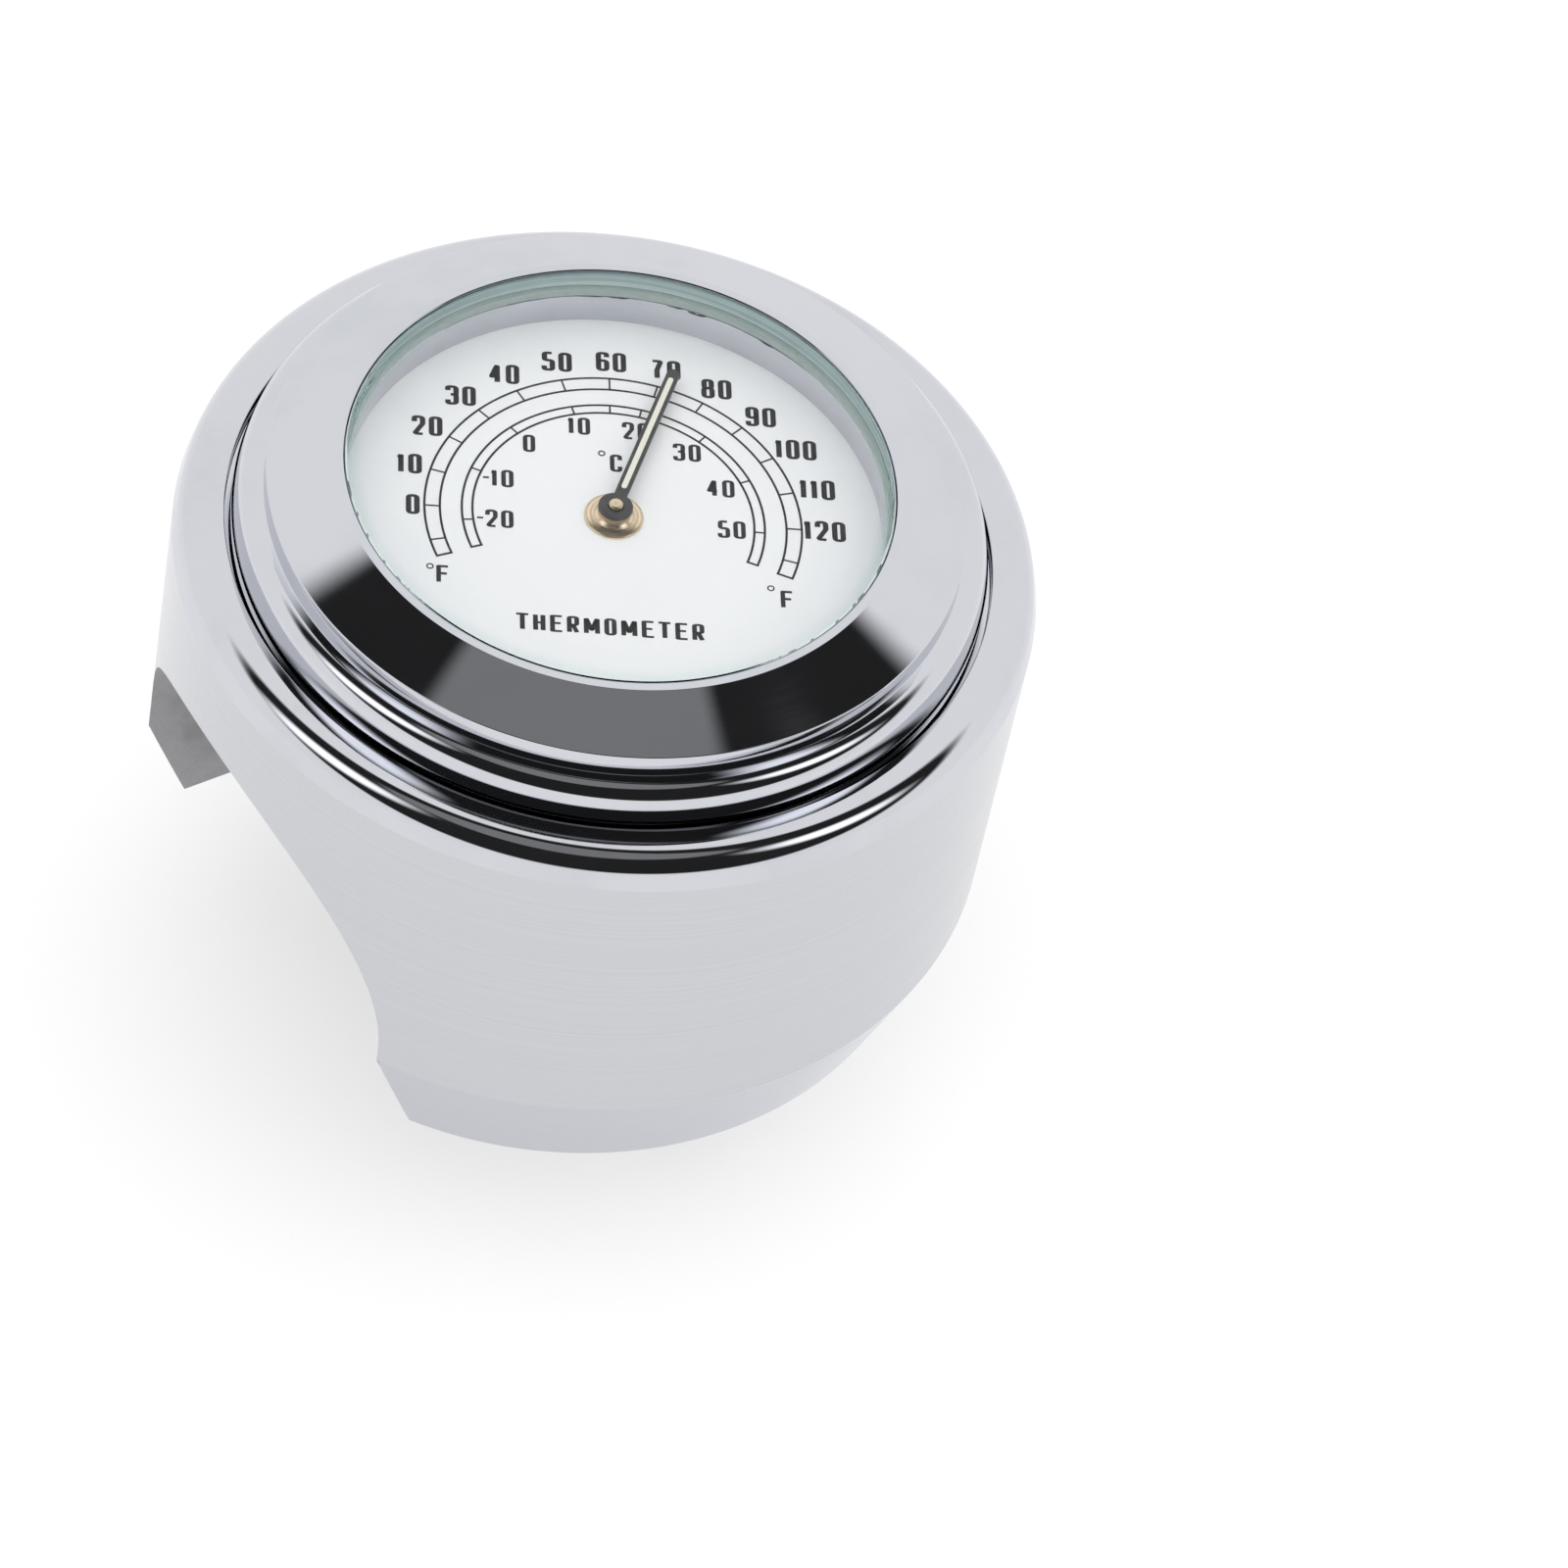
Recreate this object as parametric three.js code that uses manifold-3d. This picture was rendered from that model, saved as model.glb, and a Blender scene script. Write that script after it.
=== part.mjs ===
// Handlebar dial thermometer: a plated housing that straddles a round bar, a clamp jaw below it,
// and a dial insert in its top that can be turned to read upright.
// Frame: millimetres, +Z up out of the dial, +X along the handlebar, origin at the centre of the
// clamp jaw's flat underside.
import * as THREE from "three";
import { mergeVertices } from "three/addons/utils/BufferGeometryUtils.js";
import Module from "manifold-3d";

const wasm = await Module();
wasm.setup();

// Driving dimensions.
const BAR_RADIUS = 11.1; // a 22.2 mm (7/8 inch) handlebar
const LINER = 0.8; // rubber between bar and metal
const LINER_FREE = 0.05; // rubber's slack to the metal behind it
const SADDLE_RADIUS = BAR_RADIUS + LINER;
const JAW_WALL = 1.9; // metal under the bar
const BAR_Z = SADDLE_RADIUS + JAW_WALL;
const FOOT_Z = BAR_Z - 6.94; // underside of the housing's two feet

const HOUSING_RADIUS = 21.5;
const FOOT_RADIUS = 19.38;
const CHAMFER_HEIGHT = 6.4;
const WALL_TOP = FOOT_Z + 23.9; // where the straight wall ends
const WALL_STEP = 0.15; // the shoulder starts this far in from the wall
const SHOULDER_RADIUS = 1.2;
const LEDGE_Z = FOOT_Z + 25.05;
const MOUTH_RADIUS = 19.12; // wide mouth of the pocket
const MOUTH_FLOOR = FOOT_Z + 24.3;
const POCKET_RADIUS = 18.4;
const POCKET_FLOOR = FOOT_Z + 20.6;

const BEZEL_BASE = FOOT_Z + 21.2;
const SKIRT_RADIUS = 18.1;
const FLANGE_UNDER = FOOT_Z + 24.5;
const FLANGE_RADIUS = 18.72;
const BEAD_Z = FOOT_Z + 25.95; // the bead's round starts here
const BEAD_ROUND = 1.12;
const CONE_FOOT_RADIUS = 17.28;
const CONE_FOOT_Z = FOOT_Z + 28.3;
const LIP_RADIUS = 14.06;
const TOP_Z = FOOT_Z + 29.5;
const LENS_RADIUS = 13.54;
const LENS_THICKNESS = 1.9;
const LENS_TOP = TOP_Z - 0.02;
const LENS_BORE = 13.6;
const CAPSULE_RADIUS = 14.4; // cup, dial, reflector and gasket
const CAPSULE_BORE = 14.6;
const SEAL_GROOVE = { bottom: FOOT_Z + 22.3, top: FOOT_Z + 23.7, radius: 17.5 };

const DIAL_Z = FOOT_Z + 25.3; // printed face
const DIAL_THICKNESS = 0.4;
const CUP_BASE = FOOT_Z + 20.95;
const SHEET = 0.4; // pressed sheet of the cup and the bracket
const REFLECTOR_BOTTOM_RADIUS = 13.1;
const REFLECTOR_TOP_RADIUS = 13.35;
const GASKET = 0.5;

const ARBOR_RADIUS = 0.36;
const BEARING_RADIUS = 0.4;
const ARBOR_BASE = CUP_BASE + 0.1;
const ARBOR_TOP = DIAL_Z + 1.05;
const POINTER_Z = DIAL_Z + 0.66;
const POINTER_THICKNESS = 0.2;
const POINTER_REACH = 10.0;
const POINTER_WIDTH = 0.66;
const HUB_RADIUS = 0.86;
const INLAY = { from: 1.25, to: 9.35, width: 0.27, thickness: 0.05 };

// The dial reads upright when its twelve o'clock points this way from +X.
const DIAL_UP_DEG = 60.8;
const DEG_PER_FAHRENHEIT = 1.5; // the 60 degree mark is at twelve o'clock
const READING_FAHRENHEIT = 72.5;
const POINTER_DEG = DIAL_UP_DEG - (READING_FAHRENHEIT - 60) * DEG_PER_FAHRENHEIT;

const COIL = { inner: 1.05, outer: 5.9, turns: 4.5, strip: 0.22, height: 1.3, base: FOOT_Z + 22.3 };
const POST_RADIUS = 0.45;
const POST_REACH = COIL.outer + POST_RADIUS + 0.3;

const JAW_HALF_WIDTH = 6;
const JAW_FLAT_HALF = 8; // half length of the flat underside
const EAR_SLOPE = 2.8; // run of the slanted flank from the flat underside to the ear
const EAR_GAP = 0.5; // left between foot and ear when the clamp holds a bar
const EAR_THICKNESS = 1.7;
const EAR_RADIUS = 17.3;
const SCREW_REACH = 14.45; // screw axis from the middle
const SCREW_RADIUS = 1.25;
const SCREW_HOLE_RADIUS = 1.35;
const SCREW_LENGTH = 11;
const SCREW_HEAD_RADIUS = 2.35;
const SCREW_HEAD_HEIGHT = 1.3;
const SOCKET_RADIUS = 0.87;
const SADDLE_LINER_HALF = 11;
const SADDLE_LINER_SPREAD = 75; // degrees each side of straight up
const JAW_LINER_SPREAD = 48; // degrees each side of straight down

const ROUND = 48; // sides of the large turned pieces
const SMALL_ROUND = 20; // and of the small ones

const radians = THREE.MathUtils.degToRad;

// Finishes.
const finish = (color, roughness, metalness) =>
  new THREE.MeshStandardMaterial({ color, roughness, metalness });
const plated = finish(0xd6d8e2, 0.28, 1);
const chrome = finish(0xe4e6ec, 0.06, 1);
const glass = finish(0xd8efe8, 0.03, 0);
const clearRubber = finish(0xdfe8e4, 0.5, 0);
const white = finish(0xf4f4f6, 0.6, 0);
const brass = finish(0xc4a078, 0.3, 1);
const black = finish(0x2c2c2c, 0.5, 0);
const cream = finish(0xecead8, 0.6, 0);
const spring = finish(0x9a8f80, 0.4, 1);
const steel = finish(0x9c9ea2, 0.35, 1);
const rubber = finish(0x1d1d1f, 0.85, 0);

// A solid of revolution about Z from [radius, z] points. The outline runs counter-clockwise seen
// with radius to the right and z up, and starts and ends on the axis or at the same point.
function turned(outline, sides = ROUND) {
  const points = outline.map(([r, z]) => new THREE.Vector2(r, z));
  return new THREE.LatheGeometry(points, sides).rotateX(Math.PI / 2);
}

// A ring: an outline that closes on itself.
const ring = (outline, sides) => turned([...outline, outline[0]], sides);

// A plain disc or cylinder between two heights.
const disc = (radius, z0, z1, sides) => turned([[0, z0], [radius, z0], [radius, z1], [0, z1]], sides);

// Points on an arc about [x, y], from one angle to another in degrees, both ends included.
function arc(x, y, radius, from, to, steps) {
  const at = (i) => radians(from + ((to - from) * i) / steps);
  return Array.from({ length: steps + 1 }, (_, i) => [
    x + radius * Math.cos(at(i)),
    y + radius * Math.sin(at(i)),
  ]);
}

// An outline in the YZ plane, drawn as [y, z] points, made solid along X to half its length each way.
function alongBar(outline, half) {
  const shape = new THREE.Shape(outline.map(([y, z]) => new THREE.Vector2(y, z)));
  const solid = new THREE.ExtrudeGeometry(shape, { depth: 2 * half, bevelEnabled: false });
  const axes = new THREE.Matrix4().makeBasis(
    new THREE.Vector3(0, 1, 0),
    new THREE.Vector3(0, 0, 1),
    new THREE.Vector3(1, 0, 0),
  );
  return solid.translate(0, 0, -half).applyMatrix4(axes);
}

// A flat outline in XY made solid upwards from a height.
function plate(shape, z, thickness, curveSegments = 12) {
  const solid = new THREE.ExtrudeGeometry(shape, { depth: thickness, bevelEnabled: false, curveSegments });
  return solid.translate(0, 0, z);
}

function toManifold(geometry) {
  const bare = geometry.clone();
  bare.deleteAttribute("normal");
  bare.deleteAttribute("uv");
  const merged = mergeVertices(bare, 1e-4);
  return new wasm.Manifold(
    new wasm.Mesh({
      numProp: 3,
      vertProperties: merged.attributes.position.array,
      triVerts: new Uint32Array(merged.index.array),
    }),
  );
}

function toGeometry(solid) {
  const mesh = solid.getMesh();
  const geometry = new THREE.BufferGeometry();
  geometry.setAttribute("position", new THREE.BufferAttribute(mesh.vertProperties, 3));
  geometry.setIndex(new THREE.BufferAttribute(mesh.triVerts, 1));
  return geometry.toNonIndexed();
}

const cut = (body, ...tools) =>
  toGeometry(tools.reduce((left, tool) => left.subtract(toManifold(tool)), toManifold(body)));

const common = (a, b) => toGeometry(toManifold(a).intersect(toManifold(b)));

const thermometer = new THREE.Group();
thermometer.name = "dial_thermometer";

function add(name, geometry, material) {
  const mesh = new THREE.Mesh(geometry, material);
  mesh.name = name;
  thermometer.add(mesh);
}

// The two screws stand on the Y axis, one on each side of the bar.
const SCREWS = { clamp_screw_near: -SCREW_REACH, clamp_screw_far: SCREW_REACH };
const EAR_TOP = FOOT_Z - EAR_GAP;
const EAR_BOTTOM = EAR_TOP - EAR_THICKNESS;
const SCREW_HOLE_TOP = EAR_BOTTOM + SCREW_LENGTH + 1;

// Housing: turned blank with the insert's pocket, cut by the saddle and the two screw holes.
function housing() {
  const shoulderX = HOUSING_RADIUS - WALL_STEP - SHOULDER_RADIUS;
  const blank = turned([
    [0, FOOT_Z],
    [FOOT_RADIUS, FOOT_Z],
    [HOUSING_RADIUS, FOOT_Z + CHAMFER_HEIGHT],
    [HOUSING_RADIUS, WALL_TOP],
    ...arc(shoulderX, LEDGE_Z - SHOULDER_RADIUS, SHOULDER_RADIUS, 0, 90, 5),
    [MOUTH_RADIUS, LEDGE_Z],
    [MOUTH_RADIUS, MOUTH_FLOOR],
    [POCKET_RADIUS, MOUTH_FLOOR],
    [POCKET_RADIUS, POCKET_FLOOR],
    [0, POCKET_FLOOR],
  ]);
  const past = HOUSING_RADIUS + 2;
  const saddle = alongBar(
    [[-SADDLE_RADIUS, FOOT_Z - 1], [SADDLE_RADIUS, FOOT_Z - 1], ...arc(0, BAR_Z, SADDLE_RADIUS, 0, 180, 24)],
    past,
  );
  const holes = Object.values(SCREWS).map((y) =>
    disc(SCREW_HOLE_RADIUS, FOOT_Z - 1, SCREW_HOLE_TOP, SMALL_ROUND).translate(0, y, 0),
  );
  return cut(blank, saddle, ...holes);
}
add("housing", housing(), plated);

// Bezel: skirt with the seal's groove, flange, bead, wall, cone and lip, bored for lens and capsule.
const beadX = FLANGE_RADIUS - BEAD_ROUND;
const GLASS_SEAT = LENS_TOP - LENS_THICKNESS - 0.02;
add(
  "bezel_ring",
  ring([
    [CAPSULE_BORE, BEZEL_BASE],
    [SKIRT_RADIUS, BEZEL_BASE],
    [SKIRT_RADIUS, SEAL_GROOVE.bottom],
    [SEAL_GROOVE.radius, SEAL_GROOVE.bottom],
    [SEAL_GROOVE.radius, SEAL_GROOVE.top],
    [SKIRT_RADIUS, SEAL_GROOVE.top],
    [SKIRT_RADIUS, FLANGE_UNDER],
    [FLANGE_RADIUS, FLANGE_UNDER],
    ...arc(beadX, BEAD_Z, BEAD_ROUND, 0, 90, 5),
    [CONE_FOOT_RADIUS, BEAD_Z + BEAD_ROUND],
    [CONE_FOOT_RADIUS, CONE_FOOT_Z],
    [LIP_RADIUS, TOP_Z],
    [LENS_BORE, TOP_Z],
    [LENS_BORE, GLASS_SEAT],
    [CAPSULE_BORE, GLASS_SEAT],
  ]),
  chrome,
);

// Seal: a rubber ring pressed between the skirt's groove and the pocket's wall.
const sealMiddle = (SEAL_GROOVE.bottom + SEAL_GROOVE.top) / 2;
const sealInner = SEAL_GROOVE.radius + 0.03;
const sealOuter = POCKET_RADIUS - 0.06;
const sealHalfWidth = (sealOuter - sealInner) / 2;
const SEAL_HALF_HEIGHT = 0.6;
add(
  "insert_seal",
  ring(
    arc(0, 0, 1, 0, 315, 7).map(([x, y]) => [
      sealInner + sealHalfWidth + x * sealHalfWidth,
      sealMiddle + y * SEAL_HALF_HEIGHT,
    ]),
  ),
  rubber,
);

// Glass and what holds it up: gasket, reflector, dial, cup.
const lensBase = LENS_TOP - LENS_THICKNESS;
add("lens", disc(LENS_RADIUS, lensBase, LENS_TOP), glass);
const gasketBase = lensBase - GASKET;
add(
  "lens_gasket",
  ring([
    [REFLECTOR_TOP_RADIUS - 0.3, gasketBase],
    [CAPSULE_RADIUS, gasketBase],
    [CAPSULE_RADIUS, lensBase - 0.04],
    [REFLECTOR_TOP_RADIUS - 0.3, lensBase - 0.04],
  ]),
  clearRubber,
);
add(
  "reflector_ring",
  ring([
    [REFLECTOR_BOTTOM_RADIUS, DIAL_Z],
    [CAPSULE_RADIUS, DIAL_Z],
    [CAPSULE_RADIUS, gasketBase],
    [REFLECTOR_TOP_RADIUS, gasketBase],
  ]),
  chrome,
);
const DIAL_HOLE = 1.0;
const dialBase = DIAL_Z - DIAL_THICKNESS;
add(
  "dial_plate",
  ring([[DIAL_HOLE, dialBase], [CAPSULE_RADIUS, dialBase], [CAPSULE_RADIUS, DIAL_Z], [DIAL_HOLE, DIAL_Z]]),
  white,
);
const cupFloor = CUP_BASE + SHEET;
add(
  "capsule_cup",
  ring([
    [DIAL_HOLE, CUP_BASE],
    [CAPSULE_RADIUS, CUP_BASE],
    [CAPSULE_RADIUS, dialBase],
    [CAPSULE_RADIUS - SHEET, dialBase],
    [CAPSULE_RADIUS - SHEET, cupFloor],
    [DIAL_HOLE, cupFloor],
  ]),
  steel,
);

// Bushings: a shank through the plate, with a flange inside. The dial's one carries a boss on top.
const SHANK = DIAL_HOLE - 0.05;
const FLANGE = 1.47;
add(
  "dial_bushing",
  ring(
    [
      [BEARING_RADIUS, dialBase - 0.9],
      [SHANK, dialBase - 0.9],
      [SHANK, DIAL_Z],
      [FLANGE, DIAL_Z],
      [FLANGE, DIAL_Z + 0.14],
      [1.05, DIAL_Z + 0.24],
      [0.78, DIAL_Z + 0.34],
      [0.78, DIAL_Z + 0.58],
      [BEARING_RADIUS, DIAL_Z + 0.58],
    ],
    SMALL_ROUND,
  ),
  brass,
);
add(
  "rear_bushing",
  ring(
    [
      [BEARING_RADIUS, CUP_BASE],
      [SHANK, CUP_BASE],
      [SHANK, cupFloor],
      [FLANGE, cupFloor],
      [FLANGE, cupFloor + 0.3],
      [BEARING_RADIUS, cupFloor + 0.3],
    ],
    SMALL_ROUND,
  ),
  brass,
);

// Arbor and what turns with it.
add("arbor", disc(ARBOR_RADIUS, ARBOR_BASE, ARBOR_TOP, SMALL_ROUND), brass);
const ON_ARBOR = ARBOR_RADIUS + 0.02;
const COLLAR_RADIUS = COIL.inner - 0.2;
add(
  "coil_collar",
  ring(
    [
      [ON_ARBOR, COIL.base - 0.1],
      [COLLAR_RADIUS, COIL.base - 0.1],
      [COLLAR_RADIUS, COIL.base + COIL.height + 0.1],
      [ON_ARBOR, COIL.base + COIL.height + 0.1],
    ],
    SMALL_ROUND,
  ),
  brass,
);

// Pointer, drawn along +X and turned to its reading: a hub with a hole and a blade with a round tip.
function pointerShape() {
  const half = POINTER_WIDTH / 2;
  const root = Math.asin(half / HUB_RADIUS);
  const shape = new THREE.Shape();
  shape.absarc(0, 0, HUB_RADIUS, root, 2 * Math.PI - root, false);
  shape.lineTo(POINTER_REACH - half, -half);
  shape.absarc(POINTER_REACH - half, 0, half, -Math.PI / 2, Math.PI / 2, false);
  const hole = new THREE.Path();
  hole.absarc(0, 0, ON_ARBOR, 0, 2 * Math.PI, true);
  shape.holes.push(hole);
  return shape;
}
function inlayShape() {
  const half = INLAY.width / 2;
  const shape = new THREE.Shape();
  shape.absarc(INLAY.from + half, 0, half, Math.PI / 2, (3 * Math.PI) / 2, false);
  shape.absarc(INLAY.to - half, 0, half, -Math.PI / 2, Math.PI / 2, false);
  return shape;
}
const toReading = radians(POINTER_DEG);
add("pointer", plate(pointerShape(), POINTER_Z, POINTER_THICKNESS).rotateZ(toReading), black);
add(
  "pointer_inlay",
  plate(inlayShape(), POINTER_Z + POINTER_THICKNESS, INLAY.thickness, 6).rotateZ(toReading),
  cream,
);

// Bimetal strip: a flat spiral between the collar and the post.
function spiralShape() {
  const steps = Math.round(COIL.turns * SMALL_ROUND);
  const end = POST_ANGLE_DEG;
  const side = (offset) =>
    Array.from({ length: steps + 1 }, (_, i) => {
      const share = i / steps;
      const radius = COIL.inner + (COIL.outer - COIL.strip - COIL.inner) * share + offset;
      const angle = radians(end - 360 * COIL.turns * (1 - share));
      return new THREE.Vector2(radius * Math.cos(angle), radius * Math.sin(angle));
    });
  return new THREE.Shape([...side(COIL.strip), ...side(0).reverse()]);
}
const POST_ANGLE_DEG = DIAL_UP_DEG + 180;
add("bimetal_coil", plate(spiralShape(), COIL.base, COIL.height), spring);
const postAngle = radians(POST_ANGLE_DEG);
add(
  "coil_post",
  disc(POST_RADIUS, cupFloor + SHEET, COIL.base + COIL.height + 0.2, SMALL_ROUND).translate(
    POST_REACH * Math.cos(postAngle),
    POST_REACH * Math.sin(postAngle),
    0,
  ),
  steel,
);
function bracketShape() {
  const eye = FLANGE + 1.1;
  const half = 1.1;
  const root = Math.asin(half / eye);
  const shape = new THREE.Shape();
  shape.absarc(0, 0, eye, root, 2 * Math.PI - root, false);
  shape.absarc(POST_REACH, 0, half, -Math.PI / 2, Math.PI / 2, false);
  const hole = new THREE.Path();
  hole.absarc(0, 0, FLANGE + 0.1, 0, 2 * Math.PI, true);
  shape.holes.push(hole);
  return shape;
}
add("coil_bracket", plate(bracketShape(), cupFloor, SHEET).rotateZ(postAngle), steel);

// Rubber in the saddle: a strip bent over the top of the bar.
function liner(middleDeg, spreadDeg, half, steps) {
  const outer = arc(0, BAR_Z, SADDLE_RADIUS - LINER_FREE, middleDeg - spreadDeg, middleDeg + spreadDeg, steps);
  const inner = arc(0, BAR_Z, BAR_RADIUS, middleDeg + spreadDeg, middleDeg - spreadDeg, steps);
  return alongBar([...outer, ...inner], half);
}
add("saddle_liner", liner(90, SADDLE_LINER_SPREAD, SADDLE_LINER_HALF, 20), rubber);

// Jaw: a bridge under the bar with a flat underside and two ears, trimmed round, holed for screws.
function clampJaw() {
  const mouthDeg = THREE.MathUtils.radToDeg(Math.asin((BAR_Z - EAR_TOP) / SADDLE_RADIUS));
  const bridge = alongBar(
    [
      [-JAW_FLAT_HALF, 0],
      [JAW_FLAT_HALF, 0],
      [JAW_FLAT_HALF + EAR_SLOPE, EAR_BOTTOM],
      [EAR_RADIUS + 1, EAR_BOTTOM],
      [EAR_RADIUS + 1, EAR_TOP],
      ...arc(0, BAR_Z, SADDLE_RADIUS, -mouthDeg, mouthDeg - 180, 20),
      [-EAR_RADIUS - 1, EAR_TOP],
      [-EAR_RADIUS - 1, EAR_BOTTOM],
      [-JAW_FLAT_HALF - EAR_SLOPE, EAR_BOTTOM],
    ],
    JAW_HALF_WIDTH,
  );
  const rounded = common(bridge, disc(EAR_RADIUS, -1, EAR_TOP + 1));
  const clearance = SCREW_HOLE_RADIUS - SCREW_RADIUS;
  const headRoom = SCREW_HEAD_RADIUS + clearance;
  const tools = Object.values(SCREWS).map((y) =>
    turned(
      [
        [0, EAR_BOTTOM - 1],
        [headRoom, EAR_BOTTOM - 1],
        [headRoom, EAR_BOTTOM + 0.2],
        [SCREW_HOLE_RADIUS, EAR_BOTTOM + SCREW_HEAD_HEIGHT],
        [SCREW_HOLE_RADIUS, EAR_TOP + 1],
        [0, EAR_TOP + 1],
      ],
      SMALL_ROUND,
    ).translate(0, y, 0),
  );
  return cut(rounded, ...tools);
}
add("clamp_jaw", clampJaw(), plated);
add("jaw_liner", liner(270, JAW_LINER_SPREAD, JAW_HALF_WIDTH, 14), rubber);

// Screws: countersunk heads flush with the ears, a hexagon socket in each.
for (const [name, y] of Object.entries(SCREWS)) {
  const body = turned(
    [
      [0, EAR_BOTTOM],
      [SCREW_HEAD_RADIUS, EAR_BOTTOM],
      [SCREW_HEAD_RADIUS, EAR_BOTTOM + 0.2],
      [SCREW_RADIUS, EAR_BOTTOM + SCREW_HEAD_HEIGHT],
      [SCREW_RADIUS, EAR_BOTTOM + SCREW_LENGTH - 0.4],
      [SCREW_RADIUS - 0.4, EAR_BOTTOM + SCREW_LENGTH],
      [0, EAR_BOTTOM + SCREW_LENGTH],
    ],
    SMALL_ROUND,
  );
  const socket = disc(SOCKET_RADIUS, EAR_BOTTOM - 1, EAR_BOTTOM + 1, 6);
  add(name, cut(body.translate(0, y, 0), socket.translate(0, y, 0)), steel);
}

export default thermometer;
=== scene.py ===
# %% [markdown]
# # A handlebar thermometer, finished in Blender
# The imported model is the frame: it fixes every size, every place and every moving body. This
# script builds the fine surfaces over it and gives each piece its finish. It reads nothing else.
# Blender works in metres, and the script's own sizes are in millimetres, so MM turns one into
# the other wherever a mesh is written.

# %% Load the frame
import math

import bpy
import numpy as np
from mathutils import Matrix, Vector


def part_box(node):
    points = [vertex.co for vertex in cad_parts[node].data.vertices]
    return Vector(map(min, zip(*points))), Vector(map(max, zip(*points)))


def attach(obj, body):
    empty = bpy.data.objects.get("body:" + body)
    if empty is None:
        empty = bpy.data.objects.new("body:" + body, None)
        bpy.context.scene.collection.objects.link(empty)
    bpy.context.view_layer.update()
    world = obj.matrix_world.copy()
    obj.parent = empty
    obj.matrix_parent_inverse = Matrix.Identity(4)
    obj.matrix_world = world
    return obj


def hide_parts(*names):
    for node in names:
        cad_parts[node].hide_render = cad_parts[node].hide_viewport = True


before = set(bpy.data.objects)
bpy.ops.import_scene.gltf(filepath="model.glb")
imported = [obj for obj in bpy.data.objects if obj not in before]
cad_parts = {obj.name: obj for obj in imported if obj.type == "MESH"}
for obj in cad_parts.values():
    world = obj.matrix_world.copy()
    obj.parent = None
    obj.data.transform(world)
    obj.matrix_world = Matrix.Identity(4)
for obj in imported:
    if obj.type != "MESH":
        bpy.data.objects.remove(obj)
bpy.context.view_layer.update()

MM = 0.001

# %% [markdown]
# ## Measures taken from the frame
# Each fine piece stands exactly where its plain solid stood, so its main heights and radii are
# read from that solid. Only small shapes that the plain solid has no vertex for, such as the
# width of a groove, are written here, and always relative to something that was read.

# %% Read heights and radii
def span(node):
    low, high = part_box(node)
    return low / MM, high / MM


housing_low, housing_high = span("housing")
bezel_low, bezel_high = span("bezel_ring")
lens_low, lens_high = span("lens")
FOOT = housing_low.z
WALL = housing_high.y
LEDGE = housing_high.z
TOP = bezel_high.z
FLANGE = bezel_high.x
GLASS = lens_high.x
DIAL = span("dial_plate")[1].z
CAPSULE = span("dial_plate")[1].x
liner_high = span("saddle_liner")[1]
SADDLE = span("jaw_liner")[0].z
BAR = (liner_high.z + SADDLE) / 2
SADDLE_RADIUS = (liner_high.z - SADDLE) / 2 + 0.05
print("foot %.2f  wall %.2f  ledge %.2f  top %.2f  dial %.2f  bar %.2f" % (FOOT, WALL, LEDGE, TOP, DIAL, BAR))

# %% [markdown]
# ## Turning: the shape of nearly everything here
# The real pieces come off a lathe, so the script works the same way. An outline of [radius,
# height] points is spun about the dial's axis. `softened` breaks each hard corner with a tiny
# round, because no machined edge is perfectly sharp and it is the round that catches light.

# %% Outline helpers
def arc(x, y, radius, start, end, steps):
    angles = np.radians(np.linspace(start, end, steps + 1))
    return [[x + radius * math.cos(a), y + radius * math.sin(a)] for a in angles]


def softened(outline, radius, closed=True, steps=3, least=24):
    """Rounds every corner that turns by more than `least` degrees."""
    made = []
    count = len(outline)
    for i, corner in enumerate(outline):
        if not closed and i in (0, count - 1):
            made.append(list(corner))
            continue
        here = Vector(corner)
        back = Vector(outline[i - 1]) - here
        ahead = Vector(outline[(i + 1) % count]) - here
        turn = math.pi - back.angle(ahead)
        if math.degrees(turn) < least:
            made.append(list(corner))
            continue
        reach = min(radius * math.tan(turn / 2), 0.4 * back.length, 0.4 * ahead.length)
        start = here + back.normalized() * reach
        end = here + ahead.normalized() * reach
        for k in range(steps + 1):
            t = k / steps
            made.append(list(start * (1 - t) ** 2 + here * 2 * t * (1 - t) + end * t * t))
    return made


# %% Mesh helpers
def mesh_object(name, points, faces):
    mesh = bpy.data.meshes.new(name)
    mesh.from_pydata([tuple(c * MM for c in p) for p in points], [], faces)
    mesh.validate()
    made = bpy.data.objects.new(name, mesh)
    bpy.context.scene.collection.objects.link(made)
    return made


def turned(name, outline, closed=True, sides=360, centre=(0, 0)):
    """Spins an outline, drawn counter-clockwise with radius to the right, about an upright axis."""
    points = []
    rows = []
    for radius, height in outline:
        if radius < 1e-6:
            rows.append([len(points)] * sides)
            points.append((centre[0], centre[1], height))
            continue
        rows.append(list(range(len(points), len(points) + sides)))
        for k in range(sides):
            a = 2 * math.pi * k / sides
            points.append((centre[0] + radius * math.cos(a), centre[1] + radius * math.sin(a), height))
    faces = []
    last = len(rows) if closed else len(rows) - 1
    for i in range(last):
        low, high = rows[i], rows[(i + 1) % len(rows)]
        for k in range(sides):
            n = (k + 1) % sides
            corners = [low[k], low[n], high[n], high[k]]
            face = [c for j, c in enumerate(corners) if c not in corners[:j]]
            if len(face) > 2:
                faces.append(face)
    return mesh_object(name, points, faces)


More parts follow.
